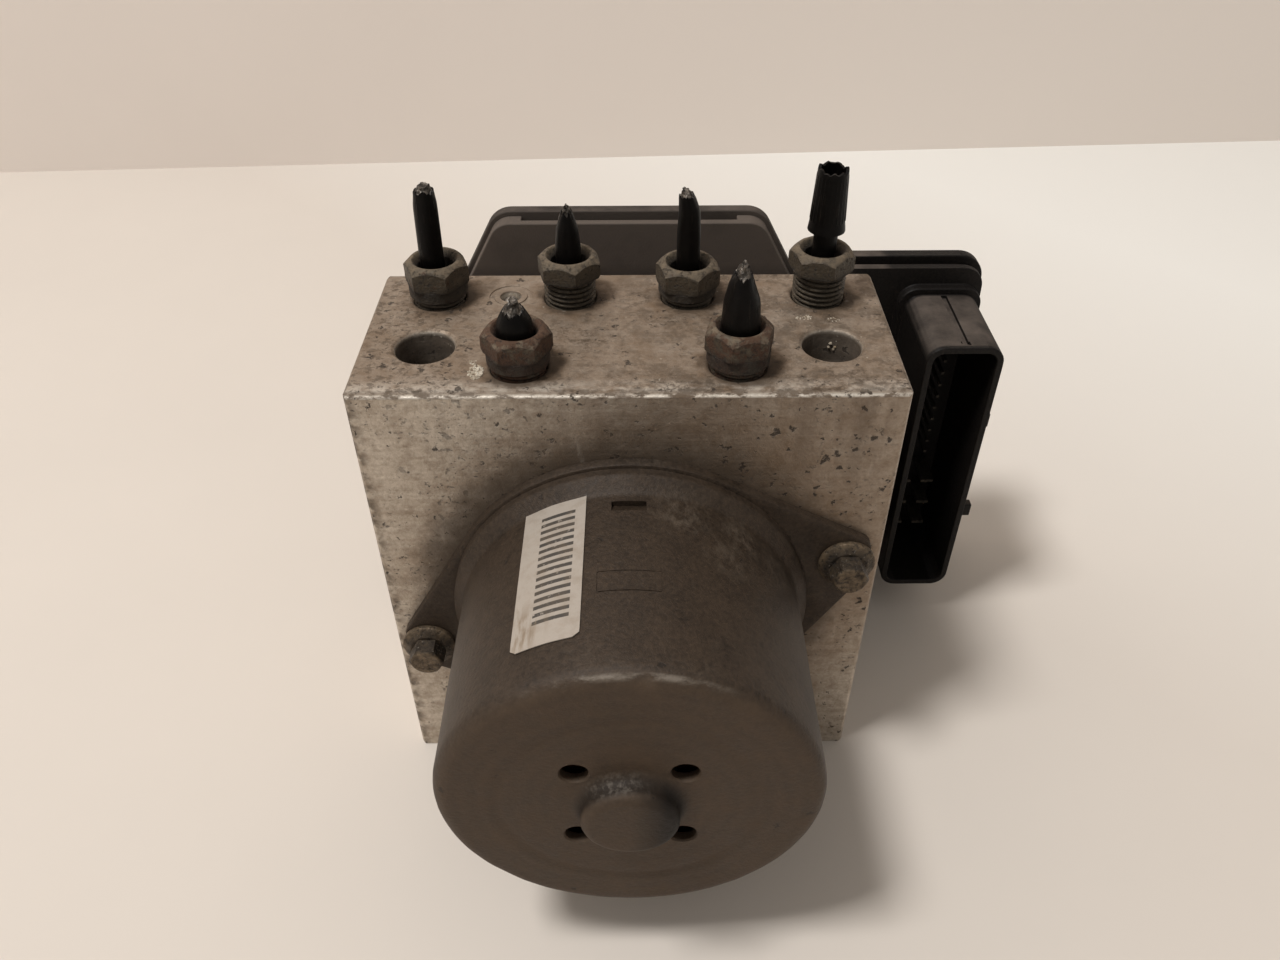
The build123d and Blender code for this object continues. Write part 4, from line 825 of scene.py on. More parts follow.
def moulded_polyester(unit):
    """Glass-filled polyester moulding: black, finely speckled.

    Dust lies on its upward faces and hazes the front of the hump.
    """
    material, tree, where = new_finish("moulded_polyester")
    axes = add(tree, "ShaderNodeSeparateXYZ", {0: where}).node.outputs
    x, y, z = axes["X"], axes["Y"], axes["Z"]
    facing = add(tree, "ShaderNodeNewGeometry", out="Normal")
    rise = add(tree, "ShaderNodeSeparateXYZ", {0: facing}, out="Z")
    # painted shadow: the foot of the plug shell, in the shadow of the lid, is left without dust so
    # that it stays dark
    lid_shadow = zone(tree, (x, 58.0, 60.0), (y, 42.4, 43.2))
    # the rim of its mouth is also left without dust
    rim = zone(tree, (x, 58.0, 60.0), (y, 21.8, 21.2))
    settled = patches(tree, where, 5.0, 0.15, 0.75, 6.0)
    inside = zone(tree, (x, 64.6, 65.2), (x, 79.3, 78.7), (z, 79.9, 79.3))
    settled = zone(tree, settled, (rise, 0.3, 0.9), (lid_shadow, 1.0, 0.0), (inside, 1.0, 0.0))
    settled = zone(tree, settled, (rim, 1.0, 0.0))
    haze = zone(tree, patches(tree, where, 12.0, -0.3, 0.5, 6.0), (x, 52.0, 46.0), (z, 78.0, 88.0))
    haze = zone(tree, haze, (y, 50.4, 49.6))
    smear = zone(tree, patches(tree, where, 9.0, 0.5, 0.9, 6.0), (x, 62.0, 56.0))
    dust = any_of(tree, settled, haze)
    # glass fibres of 0.1 mm, drawn at 0.5 mm
    fibres = patches(tree, where, 0.5, 0.25, 0.75, 3.0)
    shade = layered(
        tree,
        unit.plastic,
        (fibres, 0.08, unit.dust),
        (smear, 0.2, unit.dust),
        (dust, 0.85, unit.dust),
    )
    relief = [(fibres, 1.0)]
    finish_surface(tree, shade, (0.5, 0.85), 0.0, dust, relief, 0.03, Specular_IOR_Level=0.16)
    return material


def printed_film(motor):
    """White label film dimmed by painted shade, with plain even bars, slightly soiled along its
    edges.
    """
    material, tree, where = new_finish("printed_film")
    axes = add(tree, "ShaderNodeSeparateXYZ", {0: where}).node.outputs
    y = axes["Y"]
    rise = add(tree, "ShaderNodeMath", {0: axes["Z"], 1: AXIS_Z}, operation="SUBTRACT")
    turn = add(tree, "ShaderNodeMath", {0: rise, 1: axes["X"]}, operation="ARCTAN2")
    degrees = add(tree, "ShaderNodeMath", {0: turn}, operation="DEGREES")
    start, end = BARS_Y
    right, left = BARS_TURN
    # ten bars further back, so that what is divided stays above zero
    along = {0: y, 1: start - 10 * BAR_PITCH}
    along = add(tree, "ShaderNodeMath", along, operation="SUBTRACT")
    phase = add(tree, "ShaderNodeMath", {0: along, 1: BAR_PITCH}, operation="MODULO")
    soft = 0.05
    bars = zone(
        tree,
        (phase, BAR_WIDTH + soft, BAR_WIDTH - soft),
        (y, start - soft, start + soft),
        (y, end + soft, end - soft),
        (degrees, right - soft, right + soft),
        (degrees, left + soft, left - soft),
        patches(tree, where, 0.8, 0.25, 0.4, 4.0),
    )
    soil = patches(tree, where, 3.0, 0.45, 0.8, 7.0, rough=0.65)
    low = ring_mask(tree, where, (-17.5, -55.0, 77.0), 1.0, 7.0, (1, 1, 1))
    smear = zone(tree, low, patches(tree, where, 1.2, 0.5, 0.62, 4.0, (1.0, 0.2, 1.0)))
    shade = layered(
        tree,
        motor.label,
        (bars, 0.92, motor.bars),
        (soil, 0.45, motor.soil),
        (smear, 0.75, motor.soil),
    )
    finish_surface(tree, shade, 0.55, 0.0, None, [(patches(tree, where, 2.5, 0.2, 0.8), 1.0)], 0.03)
    return material


def painted_board(name, tint, painted_light_tint):
    """Matt painted board of the stage, with painted light that makes it lighter in its far right
    corner, and a faint grain.
    """
    material, tree, where = new_finish(name)
    grain = patches(tree, where, 60.0, 0.2, 0.8, 3.0)
    darker = dimmed(tint, 0.97)
    axes = add(tree, "ShaderNodeSeparateXYZ", {0: where}).node.outputs
    away = add(tree, "ShaderNodeMath", {0: axes["X"], 1: axes["Y"]})
    # painted light towards the far right corner
    far = zone(tree, (away, 120.0, 430.0))
    shade = layered(tree, tint, (grain, 1.0, darker), (far, 1.0, painted_light_tint))
    finish_surface(tree, shade, 0.9)
    return material


# ---- finishes of the inner pieces ---------------------------------------------------------------
# slot: name, colour, second colour, patch size in mm, stretch of the patches, metallic, roughness
INNER_FINISHES = {
    # ground and hardened: bright with very fine lines round the piece
    "bearing_steel": ("ground_bearing_steel", "#B9B6B0", "#8E8A84", 0.5, (0.1, 1, 1), 1.0, 0.22),
    # turned mild steel: greyer, with coarser tool marks
    "plain_steel": ("turned_mild_steel", "#9C978E", "#6F6A62", 0.7, (1, 0.15, 1), 0.95, 0.38),
    # hard anodised: flat dark grey
    "piston_alloy": ("hard_anodised_aluminium", "#7D7B76", "#5F5D59", 2.0, (1, 1, 1), 0.6, 0.45),
    # drawn wire: dark with a bright streak along it
    "spring_steel": ("drawn_spring_wire", "#8A8680", "#4E4B47", 0.6, (1, 1, 0.3), 0.95, 0.32),
    # pressed powder bronze soaked in oil: brown with open pores
    "bush_bronze": ("sintered_bronze", "#9A6F3D", "#5E4225", 0.5, (1, 1, 1), 0.8, 0.5),
    # lacquered copper wire and segments
    "copper": ("lacquered_copper", "#B4643A", "#6E3A20", 0.6, (0.3, 1, 1), 0.95, 0.3),
    # stacked sheets: bands 0.5 mm apart across the axis
    "core_steel": ("stacked_core_sheets", "#77746F", "#403E3B", 0.5, (0.05, 1, 0.05), 0.8, 0.5),
    # plated yoke with brown winding lacquer
    "coil_winding": ("plated_yoke_steel", "#7A6148", "#3F2F22", 0.8, (1, 0.1, 1), 0.6, 0.45),
    # sintered ferrite: matt charcoal
    "ferrite": ("sintered_ferrite", "#34343A", "#232326", 1.2, (1, 1, 1), 0.1, 0.7),
    # copper graphite: black with a brown glint
    "carbon": ("copper_graphite", "#2A2725", "#4A3427", 0.5, (1, 1, 1), 0.25, 0.55),
    # lacquered glass laminate with tracks under the lacquer
    "circuit_laminate": ("lacquered_laminate", "#1C5A34", "#2F7A4A", 1.6, (1, 1, 0.2), 0.0, 0.35),
    # tarnished tin plate: grey and slightly blotched
    "tinned_brass": ("tinned_brass", "#4A443B", "#2E2A25", 0.8, (1, 0.3, 1), 0.5, 0.55),
    # nitrile rubber: matt black
    "seal_rubber": ("nitrile_rubber", "#151413", "#23211F", 0.9, (1, 1, 1), 0.0, 0.75),
}


def inner_finish(name, first, second, size, stretch, metallic, roughness):
    """Material of an inner piece: two tones in stretched patches with matching roughness."""
    material, tree, where = new_finish(name)
    tone = patches(tree, where, size, 0.35, 0.65, 3.0, stretch)
    shade = layered(tree, linear(first), (tone, 1.0, linear(second)))
    finish_surface(tree, shade, (roughness, roughness + 0.15), metallic, tone, [(tone, 1.0)], 0.02)
    return material


# ---- pipe nuts ----------------------------------------------------------------------------------
NUT_BORE_R = 3.45
NUT_CONE_R = 4.3
NUT_CONE_DEPTH = 1.3
CORNER_ROUND = 0.35
FOOT_CHAMFER = (0.3, 0.4)
COLLAR_R = 5.6
COLLAR_FOOT = BLOCK_TOP + 1.3
THREAD_ROOT_R = 4.4
THREAD_CREST_R = 4.96
COLUMNS_PER_FLAT = 20


def hexagon_reach(angle, flats):
    """Distance from the axis to a rounded hexagon's edge; a corner is at 0 degrees."""
    off_corner = (angle + 30.0) % 60.0 - 30.0
    turn = math.radians(off_corner)
    flat_reach = flats / 2 / math.cos(math.radians(30.0) - abs(turn))
    corner_centre = (flats / 2 - CORNER_ROUND) / math.cos(math.radians(30.0))
    side = corner_centre * math.sin(turn)
    if abs(side) > CORNER_ROUND:
        return flat_reach
    round_reach = corner_centre * math.cos(turn) + math.sqrt(CORNER_ROUND**2 - side**2)
    return min(flat_reach, round_reach)


def nut_profile(nut, reach, top, hex_bottom, collared):
    """Points of the nut's wall at one angle, from the foot of the bore over the top and down.

    Each point is its distance from the axis, its height, and its share of crown, seam and foot.
    """
    corner = nut.flats / MM / math.sqrt(3)
    crest = corner - nut.chamfer / MM
    seam_z = top - (reach - crest)
    foot_inset, foot_height = FOOT_CHAMFER
    foot_r = min(reach, corner - foot_inset)
    points = [
        (NUT_BORE_R, PORT_FOOT, 0, 0, 1),
        (NUT_BORE_R, BLOCK_TOP, 0, 0, 1),
        (NUT_BORE_R, top - NUT_CONE_DEPTH, 0, 0, 1),
        ((NUT_BORE_R + NUT_CONE_R) / 2, top - NUT_CONE_DEPTH / 2, 0.3, 0, 0.3),
        (NUT_CONE_R - 0.06, top - 0.1, 1, 0, 0),
        (NUT_CONE_R + 0.06, top, 1, 0, 0),
        (crest - 0.1, top, 1, 0, 0),
        (crest + 0.05, top - 0.06, 1, 0, 0),
        ((crest + reach) / 2, (top + seam_z) / 2, 1, 0, 0),
        (reach - 0.07, seam_z + 0.07, 0.8, 0.5, 0),
        (reach, seam_z - 0.03, 0.2, 1, 0),
        (reach, seam_z - 0.18, 0, 0.4, 0),
    ]
    wall_bottom = hex_bottom + foot_height
    for share in (0.25, 0.5, 0.75):
        points.append((reach, seam_z + (wall_bottom - seam_z) * share, 0, 0, 0.2 * share))
    points += [(reach, wall_bottom, 0, 0, 0.5), (foot_r, hex_bottom, 0, 0, 1)]
    if collared:
        points += [
            (COLLAR_R, hex_bottom - 0.04, 0, 0, 1),
            (COLLAR_R, COLLAR_FOOT + 0.2, 0, 0, 0.7),
            (COLLAR_R - 0.2, COLLAR_FOOT, 0, 0, 1),
            (THREAD_ROOT_R, COLLAR_FOOT, 0, 0, 1),
        ]
    else:
        points.append((THREAD_ROOT_R, hex_bottom, 0, 0, 1))
    points.append((THREAD_ROOT_R, PORT_FOOT, 0, 0, 1))
    return points


def ringed_mesh(name, columns, materials, closed=True, sharp_from=40.0):
    """A mesh from columns of points that stand round an axis; `closed` joins last row to first."""
    rows = len(columns[0])
    points = [point for column in columns for point in column]
    faces = []
    for column in range(len(columns)):
        here, there = column * rows, (column + 1) % len(columns) * rows
        for row in range(rows if closed else rows - 1):
            after = (row + 1) % rows
            faces.append((here + row, there + row, there + after, here + after))
    return mesh_from(name, points, faces, materials, sharp_from)


def nut_mesh(nut, port, finish):
    """A flare nut: chamfered hexagon, conical mouth, round collar if it has one, thread root."""
    x, y, top, hex_bottom, collared, turn = NUTS[port]
    columns, marks = [], []
    for step in range(6 * COLUMNS_PER_FLAT):
        angle = 60.0 * step / COLUMNS_PER_FLAT
        reach = hexagon_reach(angle, nut.flats / MM)
        across = math.radians(angle + turn)
        column = []
        for radius, height, *mark in nut_profile(nut, reach, top, hex_bottom, collared):
            point = Vector((x + radius * math.cos(across), y + radius * math.sin(across), height))
            if height > COLLAR_FOOT + 0.1:
                dent = 0.05 * noise.noise(point * 0.8) + 0.035 * noise.noise(point * 2.6)
                point += Vector((math.cos(across), math.sin(across), 0.4)) * (dent - 0.03)
            column.append(point)
            marks.append(mark)
        columns.append(column)
    mesh = ringed_mesh(f"pipe_nut_{port}", columns, [finish], sharp_from=32.0)
    for index, name in enumerate(NUT_MARKS):
        values = [mark[index] for mark in marks]
        mesh.attributes.new(name, "FLOAT", "POINT").data.foreach_set("value", values)
    return mesh


def node_group(name, inputs):
    """A Geometry Nodes tree with named inputs and a material, its entry and its output node."""
    kinds = {float: "NodeSocketFloat", int: "NodeSocketInt", tuple: "NodeSocketVector"}
    tree = bpy.data.node_groups.new(name, "GeometryNodeTree")
    new_socket = tree.interface.new_socket
    new_socket("Geometry", in_out="INPUT", socket_type="NodeSocketGeometry")
    for label, value in inputs.items():
        socket = new_socket(label, in_out="INPUT", socket_type=kinds[type(value)])
        socket.default_value = value
    new_socket("Material", in_out="INPUT", socket_type="NodeSocketMaterial")
    new_socket("Geometry", in_out="OUTPUT", socket_type="NodeSocketGeometry")
    entry = tree.nodes.new("NodeGroupInput").outputs
    return tree, entry, tree.nodes.new("NodeGroupOutput")


def made_real(tree, entry, end, made):
    """Ends a tree: real geometry with its material."""
    real = add(tree, "GeometryNodeRealizeInstances", {"Geometry": made})
    done = add(tree, "GeometryNodeSetMaterial", {"Geometry": real, "Material": entry["Material"]})
    tree.links.new(done, end.inputs[0])
    return tree


def grown(name, tree, values, base=None):
    """Runs a Geometry Nodes tree with the given inputs and gives back its plain mesh."""
    piece = linked(name, base or bpy.data.meshes.new(name))
    grow = piece.modifiers.new("grow", "NODES")
    grow.node_group = tree
    sockets = {item.name: item.identifier for item in tree.interface.items_tree}
    for label, value in values.items():
        grow[sockets[label]] = value
    mesh = baked(piece)
    bpy.data.objects.remove(piece)
    return mesh


def thread_tree():
    """Turns of a screw thread: a spiral with a diamond section, standing on its lower end."""
    inputs = {
        "Root radius": THREAD_ROOT_R * MM,
        "Depth": 0.5 * MM,
        "Pitch": 1.0 * MM,
        "Turns": 4.0,
        "Place": (0.0, 0.0, 0.0),
    }
    tree, entry, end = node_group("thread_turns", inputs)
    rise = {0: entry["Turns"], 1: entry["Pitch"]}
    height = add(tree, "ShaderNodeMath", rise, operation="MULTIPLY")
    coil = {"Resolution": 48, "Rotations": entry["Turns"], "Height": height}
    coil["Start Radius"] = coil["End Radius"] = entry["Root radius"]
    spiral = add(tree, "GeometryNodeCurveSpiral", coil)
    upright = add(tree, "GeometryNodeSetCurveNormal", {"Curve": spiral}, mode="Z_UP")
    half_pitch = add(tree, "ShaderNodeMath", {0: entry["Pitch"], 1: 0.46}, operation="MULTIPLY")
    extent = add(tree, "ShaderNodeCombineXYZ", {"X": entry["Depth"], "Y": half_pitch, "Z": 1.0})
    corners = add(tree, "GeometryNodeCurvePrimitiveCircle", {"Resolution": 4, "Radius": 1.0})
    section = add(tree, "GeometryNodeTransform", {"Geometry": corners, "Scale": extent})
    swept = {"Curve": upright, "Profile Curve": section, "Fill Caps": True}
    turns = add(tree, "GeometryNodeCurveToMesh", swept)
    placed = add(tree, "GeometryNodeTransform", {"Geometry": turns, "Translation": entry["Place"]})
    return made_real(tree, entry, end, placed)


def thread_mesh(nut, port, tree, finish):
    """The thread turns that show between a nut and the block, and one turn inside the port."""
    x, y, _, hex_bottom, collared, _ = NUTS[port]
    start = BLOCK_TOP - 0.8
    end = (COLLAR_FOOT if collared else hex_bottom) + 0.2
    values = {
        "Root radius": THREAD_ROOT_R * MM,
        "Depth": (THREAD_CREST_R - THREAD_ROOT_R) * MM,
        "Pitch": nut.pitch,
        "Turns": (end - start) * MM / nut.pitch,
        "Place": (x * MM, y * MM, start * MM),
        "Material": finish,
    }
    return grown(f"nut_thread_{port}", tree, values)


# ---- cut pipe stubs -----------------------------------------------------------------------------
PIPE_FOOT = BLOCK_TOP - 8.0
PIPE_COLUMNS = 64
COAT_ROWS = 24
END_ROWS = 12
# height, half width in X, half width in Y and sideways shift of each section
PIPES = {
    "rear_left": [
        (PIPE_FOOT, 2.3, 2.3, 0.0),
        (107.4, 2.3, 2.3, -0.5),
        (117.7, 2.2, 2.3, -0.3),
        (120.4, 1.9, 2.1, -0.2),
        (121.5, 1.2, 1.9, -0.1),
    ],
    "rear_mid_left": [
        (PIPE_FOOT, 2.45, 2.45, 0.0),
        (109.0, 2.45, 2.45, 0.0),
        (113.0, 2.05, 2.4, 0.0),
        (115.6, 1.35, 2.1, 0.0),
        (117.5, 0.6, 1.4, 0.0),
    ],
    "rear_mid_right": [
        (PIPE_FOOT, 2.25, 2.25, 0.0),
        (112.0, 2.2, 2.25, 0.0),
        (116.5, 2.0, 2.3, 0.0),
        (119.5, 1.45, 2.2, -0.6),
        (120.3, 1.1, 1.9, -0.7),
    ],
    "rear_right": [
        (PIPE_FOOT, 2.25, 2.25, 0.0),
        (110.8, 2.25, 2.25, 0.2),
        (118.0, 2.1, 2.1, 0.15),
    ],
    "front_left": [
        (PIPE_FOOT, 3.35, 3.35, 0.0),
        (106.2, 3.3, 3.3, -0.1),
        (108.2, 2.9, 3.1, -0.1),
        (109.7, 2.0, 2.7, -0.2),
        (111.8, 1.2, 1.7, -0.1),
    ],
    "front_right": [
        (PIPE_FOOT, 3.35, 3.35, 0.0),
        (107.4, 3.35, 3.35, 0.0),
        (111.6, 3.1, 3.35, 0.0),
        (115.0, 2.1, 3.0, -0.2),
        (118.4, 0.9, 1.8, 0.0),
    ],
}
# height at which each coat ends
COAT_ENDS = {
    "rear_left": 120.5,
    "rear_mid_left": 116.3,
    "rear_mid_right": 119.3,
    "rear_right": 116.0,
    "front_left": 110.0,
    "front_right": 116.6,
}
SLEEVE = [
    (112.6, 3.5, 3.5, 0.15),
    (113.3, 3.42, 3.42, 0.15),
    (114.6, 3.2, 3.3, 0.15),
    (120.0, 3.0, 3.3, 0.15),
    (124.5, 2.75, 3.25, 0.15),
]
SLEEVE_WALL = 0.55
SLEEVE_ROWS = 18


def section_at(sections, height):
    """Half widths and shift at a height, eased between the sections."""
    for low, high in zip(sections, sections[1:]):
        if height <= high[0]:
            share = max(0.0, (height - low[0]) / (high[0] - low[0]))
            return [a + (b - a) * share for a, b in zip(low[1:], high[1:])]
    return sections[-1][1:]


def stub_point(port, angle, height, inset, crush):
    """A point on a stub's wall, `inset` mm under its skin, dented by up to `crush` mm."""
    x, y = NUTS[port][:2]
    wide, deep, shift = section_at(PIPES[port], height)
    place = Vector((x + shift, y, height))
    away = Vector((wide * math.cos(angle), deep * math.sin(angle), 0.0))
    length_now = max(away.length - inset, 0.15)
    dent = noise.noise((place + away) * 0.9) + 0.6 * noise.noise((place + away) * 2.3)
    return place + away.normalized() * max(length_now + crush * (dent - 0.35), 0.1)


def stub_mesh(pipe, port, finishes):
    """A cut pipe: coat with a torn edge, and the crushed steel end standing out of it."""
    sections = PIPES[port]
    tip, coat_end = sections[-1][0], COAT_ENDS[port]
    coat = pipe.coat_thickness / MM
    columns = []
    for step in range(PIPE_COLUMNS):
        angle = math.tau * step / PIPE_COLUMNS
        spot = Vector((3.0 * math.cos(angle), 3.0 * math.sin(angle), tip))
        torn = coat_end + 0.7 * noise.noise(spot * 0.8) + 0.5 * noise.noise(spot * 2.0)
        column = []
        for row in range(COAT_ROWS + 1):
            height = PIPE_FOOT + (torn - PIPE_FOOT) * row / COAT_ROWS
            bend = max(0.0, (height - torn + 3.0) / 3.0)
            column.append(stub_point(port, angle, height, 0.0, 0.12 * bend))
        column.append(stub_point(port, angle, torn + 0.04, coat * 0.5, 0.12))
        for row in range(END_ROWS + 1):
            height = torn - 0.02 + (tip - torn) * row / END_ROWS
            crush = 0.12 + 0.45 * row / END_ROWS
            column.append(stub_point(port, angle, height, coat, crush))
        lip = column[-1]
        middle = Vector((NUTS[port][0] + sections[-1][3], NUTS[port][1], tip - 0.5))
        for share, sink in ((0.25, 0.05), (0.55, -0.1), (0.85, -0.35)):
            column.append(lip.lerp(middle, share) + Vector((0, 0, -sink * 0.4)))
        columns.append(column)
    mesh = ringed_mesh(f"cut_pipe_{port}", columns, finishes, closed=False, sharp_from=50.0)
    rows = len(columns[0])
    for face in mesh.polygons:
        if min(point % rows for point in face.vertices) > COAT_ROWS:
            face.material_index = 1
    closed_ends(mesh)
    for face in mesh.polygons:
        if len(face.vertices) > 4 and face.center.z > coat_end * MM:
            face.material_index = 1
    return mesh


def sleeve_mesh(finishes):
    """The loose outer sleeve of the rear right stub, torn open in teeth at its top."""
    x, y = NUTS["rear_right"][:2]
    columns = []
    for step in range(PIPE_COLUMNS):
        angle = math.tau * step / PIPE_COLUMNS
        spot = Vector((3.0 * math.cos(angle), 3.0 * math.sin(angle), 5.0))
        tooth = 0.7 * noise.noise(spot * 0.9) + 0.55 * abs((step % 9) / 4.5 - 1.0)
        top = SLEEVE[-1][0] - 0.75 + min(0.75, tooth)
        outer, inner = [], []
        for row in range(SLEEVE_ROWS + 1):
            height = SLEEVE[0][0] + (top - SLEEVE[0][0]) * row / SLEEVE_ROWS
            wide, deep, shift = section_at(SLEEVE, height)
            for side, wall in ((outer, 0.0), (inner, SLEEVE_WALL)):
                place = Vector((x + shift, y, height))
                away = Vector((math.cos(angle) * (wide - wall), math.sin(angle) * (deep - wall), 0))
                side.append(place + away * (1.0 + 0.012 * noise.noise((place + away) * 0.7)))
        columns.append(outer + inner[::-1])
    return ringed_mesh("pipe_sleeve", columns, finishes, sharp_from=50.0)


def rib_tree():
    """Fine ribs that stand round a tapered sleeve and lean in with it."""
    inputs = {
        "Ribs": 26,
        "Foot radius": 3.2 * MM,
        "Top share": 0.9,
        "Height": 9.0 * MM,
        "Rib radius": 0.14 * MM,
        "Place": (0.0, 0.0, 0.0),
    }
    tree, entry, end = node_group("sleeve_ribs", inputs)
    foot = {"Resolution": entry["Ribs"], "Radius": entry["Foot radius"]}
    ring = add(tree, "GeometryNodeCurvePrimitiveCircle", foot)
    feet = add(tree, "GeometryNodeCurveToPoints", {"Curve": ring}, mode="EVALUATED")
    top = add(tree, "ShaderNodeCombineXYZ", {"Z": entry["Height"]})
    line = add(tree, "GeometryNodeCurvePrimitiveLine", {"End": top})
    wire = {"Resolution": 6, "Radius": entry["Rib radius"]}
    section = add(tree, "GeometryNodeCurvePrimitiveCircle", wire)
    steps = add(tree, "GeometryNodeResampleCurve", {"Curve": line, "Count": 8})
    swept = {"Curve": steps, "Profile Curve": section, "Fill Caps": True}
    rib = add(tree, "GeometryNodeCurveToMesh", swept)
    ribs = add(tree, "GeometryNodeInstanceOnPoints", {"Points": feet, "Instance": rib})
    real = add(tree, "GeometryNodeRealizeInstances", {"Geometry": ribs})
    here = add(tree, "GeometryNodeInputPosition")
    height = add(tree, "ShaderNodeSeparateXYZ", {0: here}, out="Z")
    slant = {"Value": height, "From Max": entry["Height"], "To Min": 1.0}
    slant["To Max"] = entry["Top share"]
    lean = add(tree, "ShaderNodeMapRange", slant)
    taper = add(tree, "ShaderNodeCombineXYZ", {"X": lean, "Y": 1.0, "Z": 1.0})
    leant = add(tree, "ShaderNodeVectorMath", {0: here, 1: taper}, operation="MULTIPLY")
    moved = add(tree, "ShaderNodeVectorMath", {0: leant, 1: entry["Place"]})
    placed = add(tree, "GeometryNodeSetPosition", {"Geometry": real, "Position": moved})
    return made_real(tree, entry, end, placed)


# ---- motor --------------------------------------------------------------------------------------
CAN_WALL = 1.7
CAN_COLUMNS = 240
SHOULDER_R = 34.8
SHOULDER_Y = -24.6
HUB_R = 8.2
HUB_END = CAN_END - 4.4
END_RING = (20.9, 22.0, 23.1)
VENT_R = 2.3
VENT_OFFSET = 8.9
FLANGE_THICKNESS = 2.0
# centre in X, rise above the motor axis and radius of the discs that the flange is wrapped round
FLANGE_DISCS = [
    (0.0, 0.0, 35.5),
    (43.4, 14.6, 2.5),
    (43.7, 8.8, 2.5),
    (-43.4, -14.6, 2.5),
    (-43.7, -8.8, 2.5),
]
LANCE_Y = (-31.3, -28.9)
LANCE_HALF = 3.05
LANCE_DEPTH = 1.25
SCORE_Y = (-50.3, -45.9)
SCORE_TURN = (-8.8, 9.5)
SCORE_DEPTH = 0.16
SCORE_WIDTH = 0.28


def rounded(corners, steps=6):
    """A profile through corners (distance, place, round), each round drawn as an arc."""
    points = []
    for index, (first, second, radius) in enumerate(corners):
        here = Vector((first, second))
        if not radius:
            points.append(here)
            continue
        before = (Vector(corners[index - 1][:2]) - here).normalized()
        after = (Vector(corners[index + 1][:2]) - here).normalized()
        half = before.angle(after) / 2
        centre = here + (before + after).normalized() * radius / math.sin(half)
        start = here + before * radius / math.tan(half) - centre
        end = here + after * radius / math.tan(half) - centre
        points += [centre + start.slerp(end, step / steps) * radius for step in range(steps + 1)]
    return points


def filled_in(points, longest):
    """The same profile with its long straight runs cut into steps."""
    result = [points[0]]
    for here, there in zip(points, points[1:]):
        steps = max(1, math.ceil((there - here).length / longest))
        result += [here.lerp(there, (step + 1) / steps) for step in range(steps)]
    return result


def can_shell():
    """Columns of the can: from the middle of the hub over the end and the wall, and back inside."""
    ring_in, ring_middle, ring_out = END_RING
    outside = rounded(
        [
            (SHOULDER_R - 0.05, FRONT - 0.3, 0),
            (SHOULDER_R, SHOULDER_Y + 0.3, 1.4),
            (CAN_R, SHOULDER_Y - 2.6, 2.2),
            (CAN_R, CAN_END, 2.8),
            (ring_out, CAN_END, 0),
            (ring_middle, CAN_END + 0.22, 0),
            (ring_in, CAN_END, 0),
            (HUB_R, CAN_END, 2.2),
            (HUB_R, HUB_END, 1.8),
            (0.6, HUB_END - 0.02, 0),
        ]
    )
    inside_end = CAN_END + CAN_WALL
    inside = rounded(
        [
            (0.6, HUB_END + CAN_WALL, 0),
            (HUB_R - CAN_WALL, HUB_END + CAN_WALL, 1.2),
            (HUB_R - CAN_WALL, inside_end, 0),
            (CAN_R - CAN_WALL, inside_end, 1.5),
            (CAN_R - CAN_WALL, FRONT - 0.3, 0),
        ]
    )
    outside, inside = filled_in(outside, 2.2)[::-1], filled_in(inside, 6.0)[::-1]
    profile = outside + inside
    columns = []
    for step in range(CAN_COLUMNS):
        turn = math.tau * step / CAN_COLUMNS
        column = []
        for row, (reach, y) in enumerate(profile):
            spot = Vector((math.cos(turn) * reach, y, math.sin(turn) * reach + AXIS_Z))
            if row < len(outside):
                wave = noise.noise(spot * 0.07) * 0.12 + noise.noise(spot * 0.25) * 0.04
                spot += Vector((math.cos(turn), 0.0, math.sin(turn))) * (wave - 0.05)
                spot.y += abs(noise.noise(spot * 0.16)) * 0.1 if y < CAN_END + 2 else 0.0
            column.append(spot)
        columns.append(column)
    return columns


def flange_columns():
    """The flange as rows round its outline: back edge, front edge, broken corner, inner circle."""
    front = FRONT - FLANGE_THICKNESS
    columns = []
    for step in range(2 * CAN_COLUMNS):
        turn = math.tau * step / (2 * CAN_COLUMNS)
        away = Vector((math.cos(turn), math.sin(turn)))
        x, rise, radius = max(FLANGE_DISCS, key=lambda disc: away.dot(Vector(disc[:2])) + disc[2])
        outline = Vector((x, rise)) + away * radius
        edge = outline + away * (0.06 * noise.noise(Vector((outline.x, outline.y, 0)) * 0.4))
        rows = [
            (edge, FRONT - 0.02),
            (edge, front + 0.35),
            (edge - away * 0.1, front + 0.1),
            (edge - away * 0.35, front),
            (outline.lerp(away * (SHOULDER_R - 2.0), 0.5), front),
            (away * (SHOULDER_R - 2.0), front),
            (away * (SHOULDER_R - 2.0), FRONT - 0.02),
        ]
        columns.append([Vector((point.x, y, AXIS_Z + point.y)) for point, y in rows])
    return columns


def cutter_mesh(points):
    """A closed cutter with six faces through eight corners, low end first."""
    faces = [(0, 1, 2, 3), (7, 6, 5, 4), (0, 4, 5, 1), (1, 5, 6, 2), (2, 6, 7, 3), (3, 7, 4, 0)]
    return mesh_from("cutter", points, faces, [])


def lance_cutter():
    """The wedge that is pushed into the crown: deepest at the side next to the block."""
    near, far = LANCE_Y
    crown = AXIS_Z + CAN_R
    corners = []
    for height in (0.0, 4.0):
        for x, y, depth in (
            (-LANCE_HALF, near, 0.25),
            (LANCE_HALF, near, 0.25),
            (LANCE_HALF, far, LANCE_DEPTH),
            (-LANCE_HALF, far, LANCE_DEPTH),
        ):
            corners.append((x, y, crown + (height or -depth)))
    return cutter_mesh(corners)


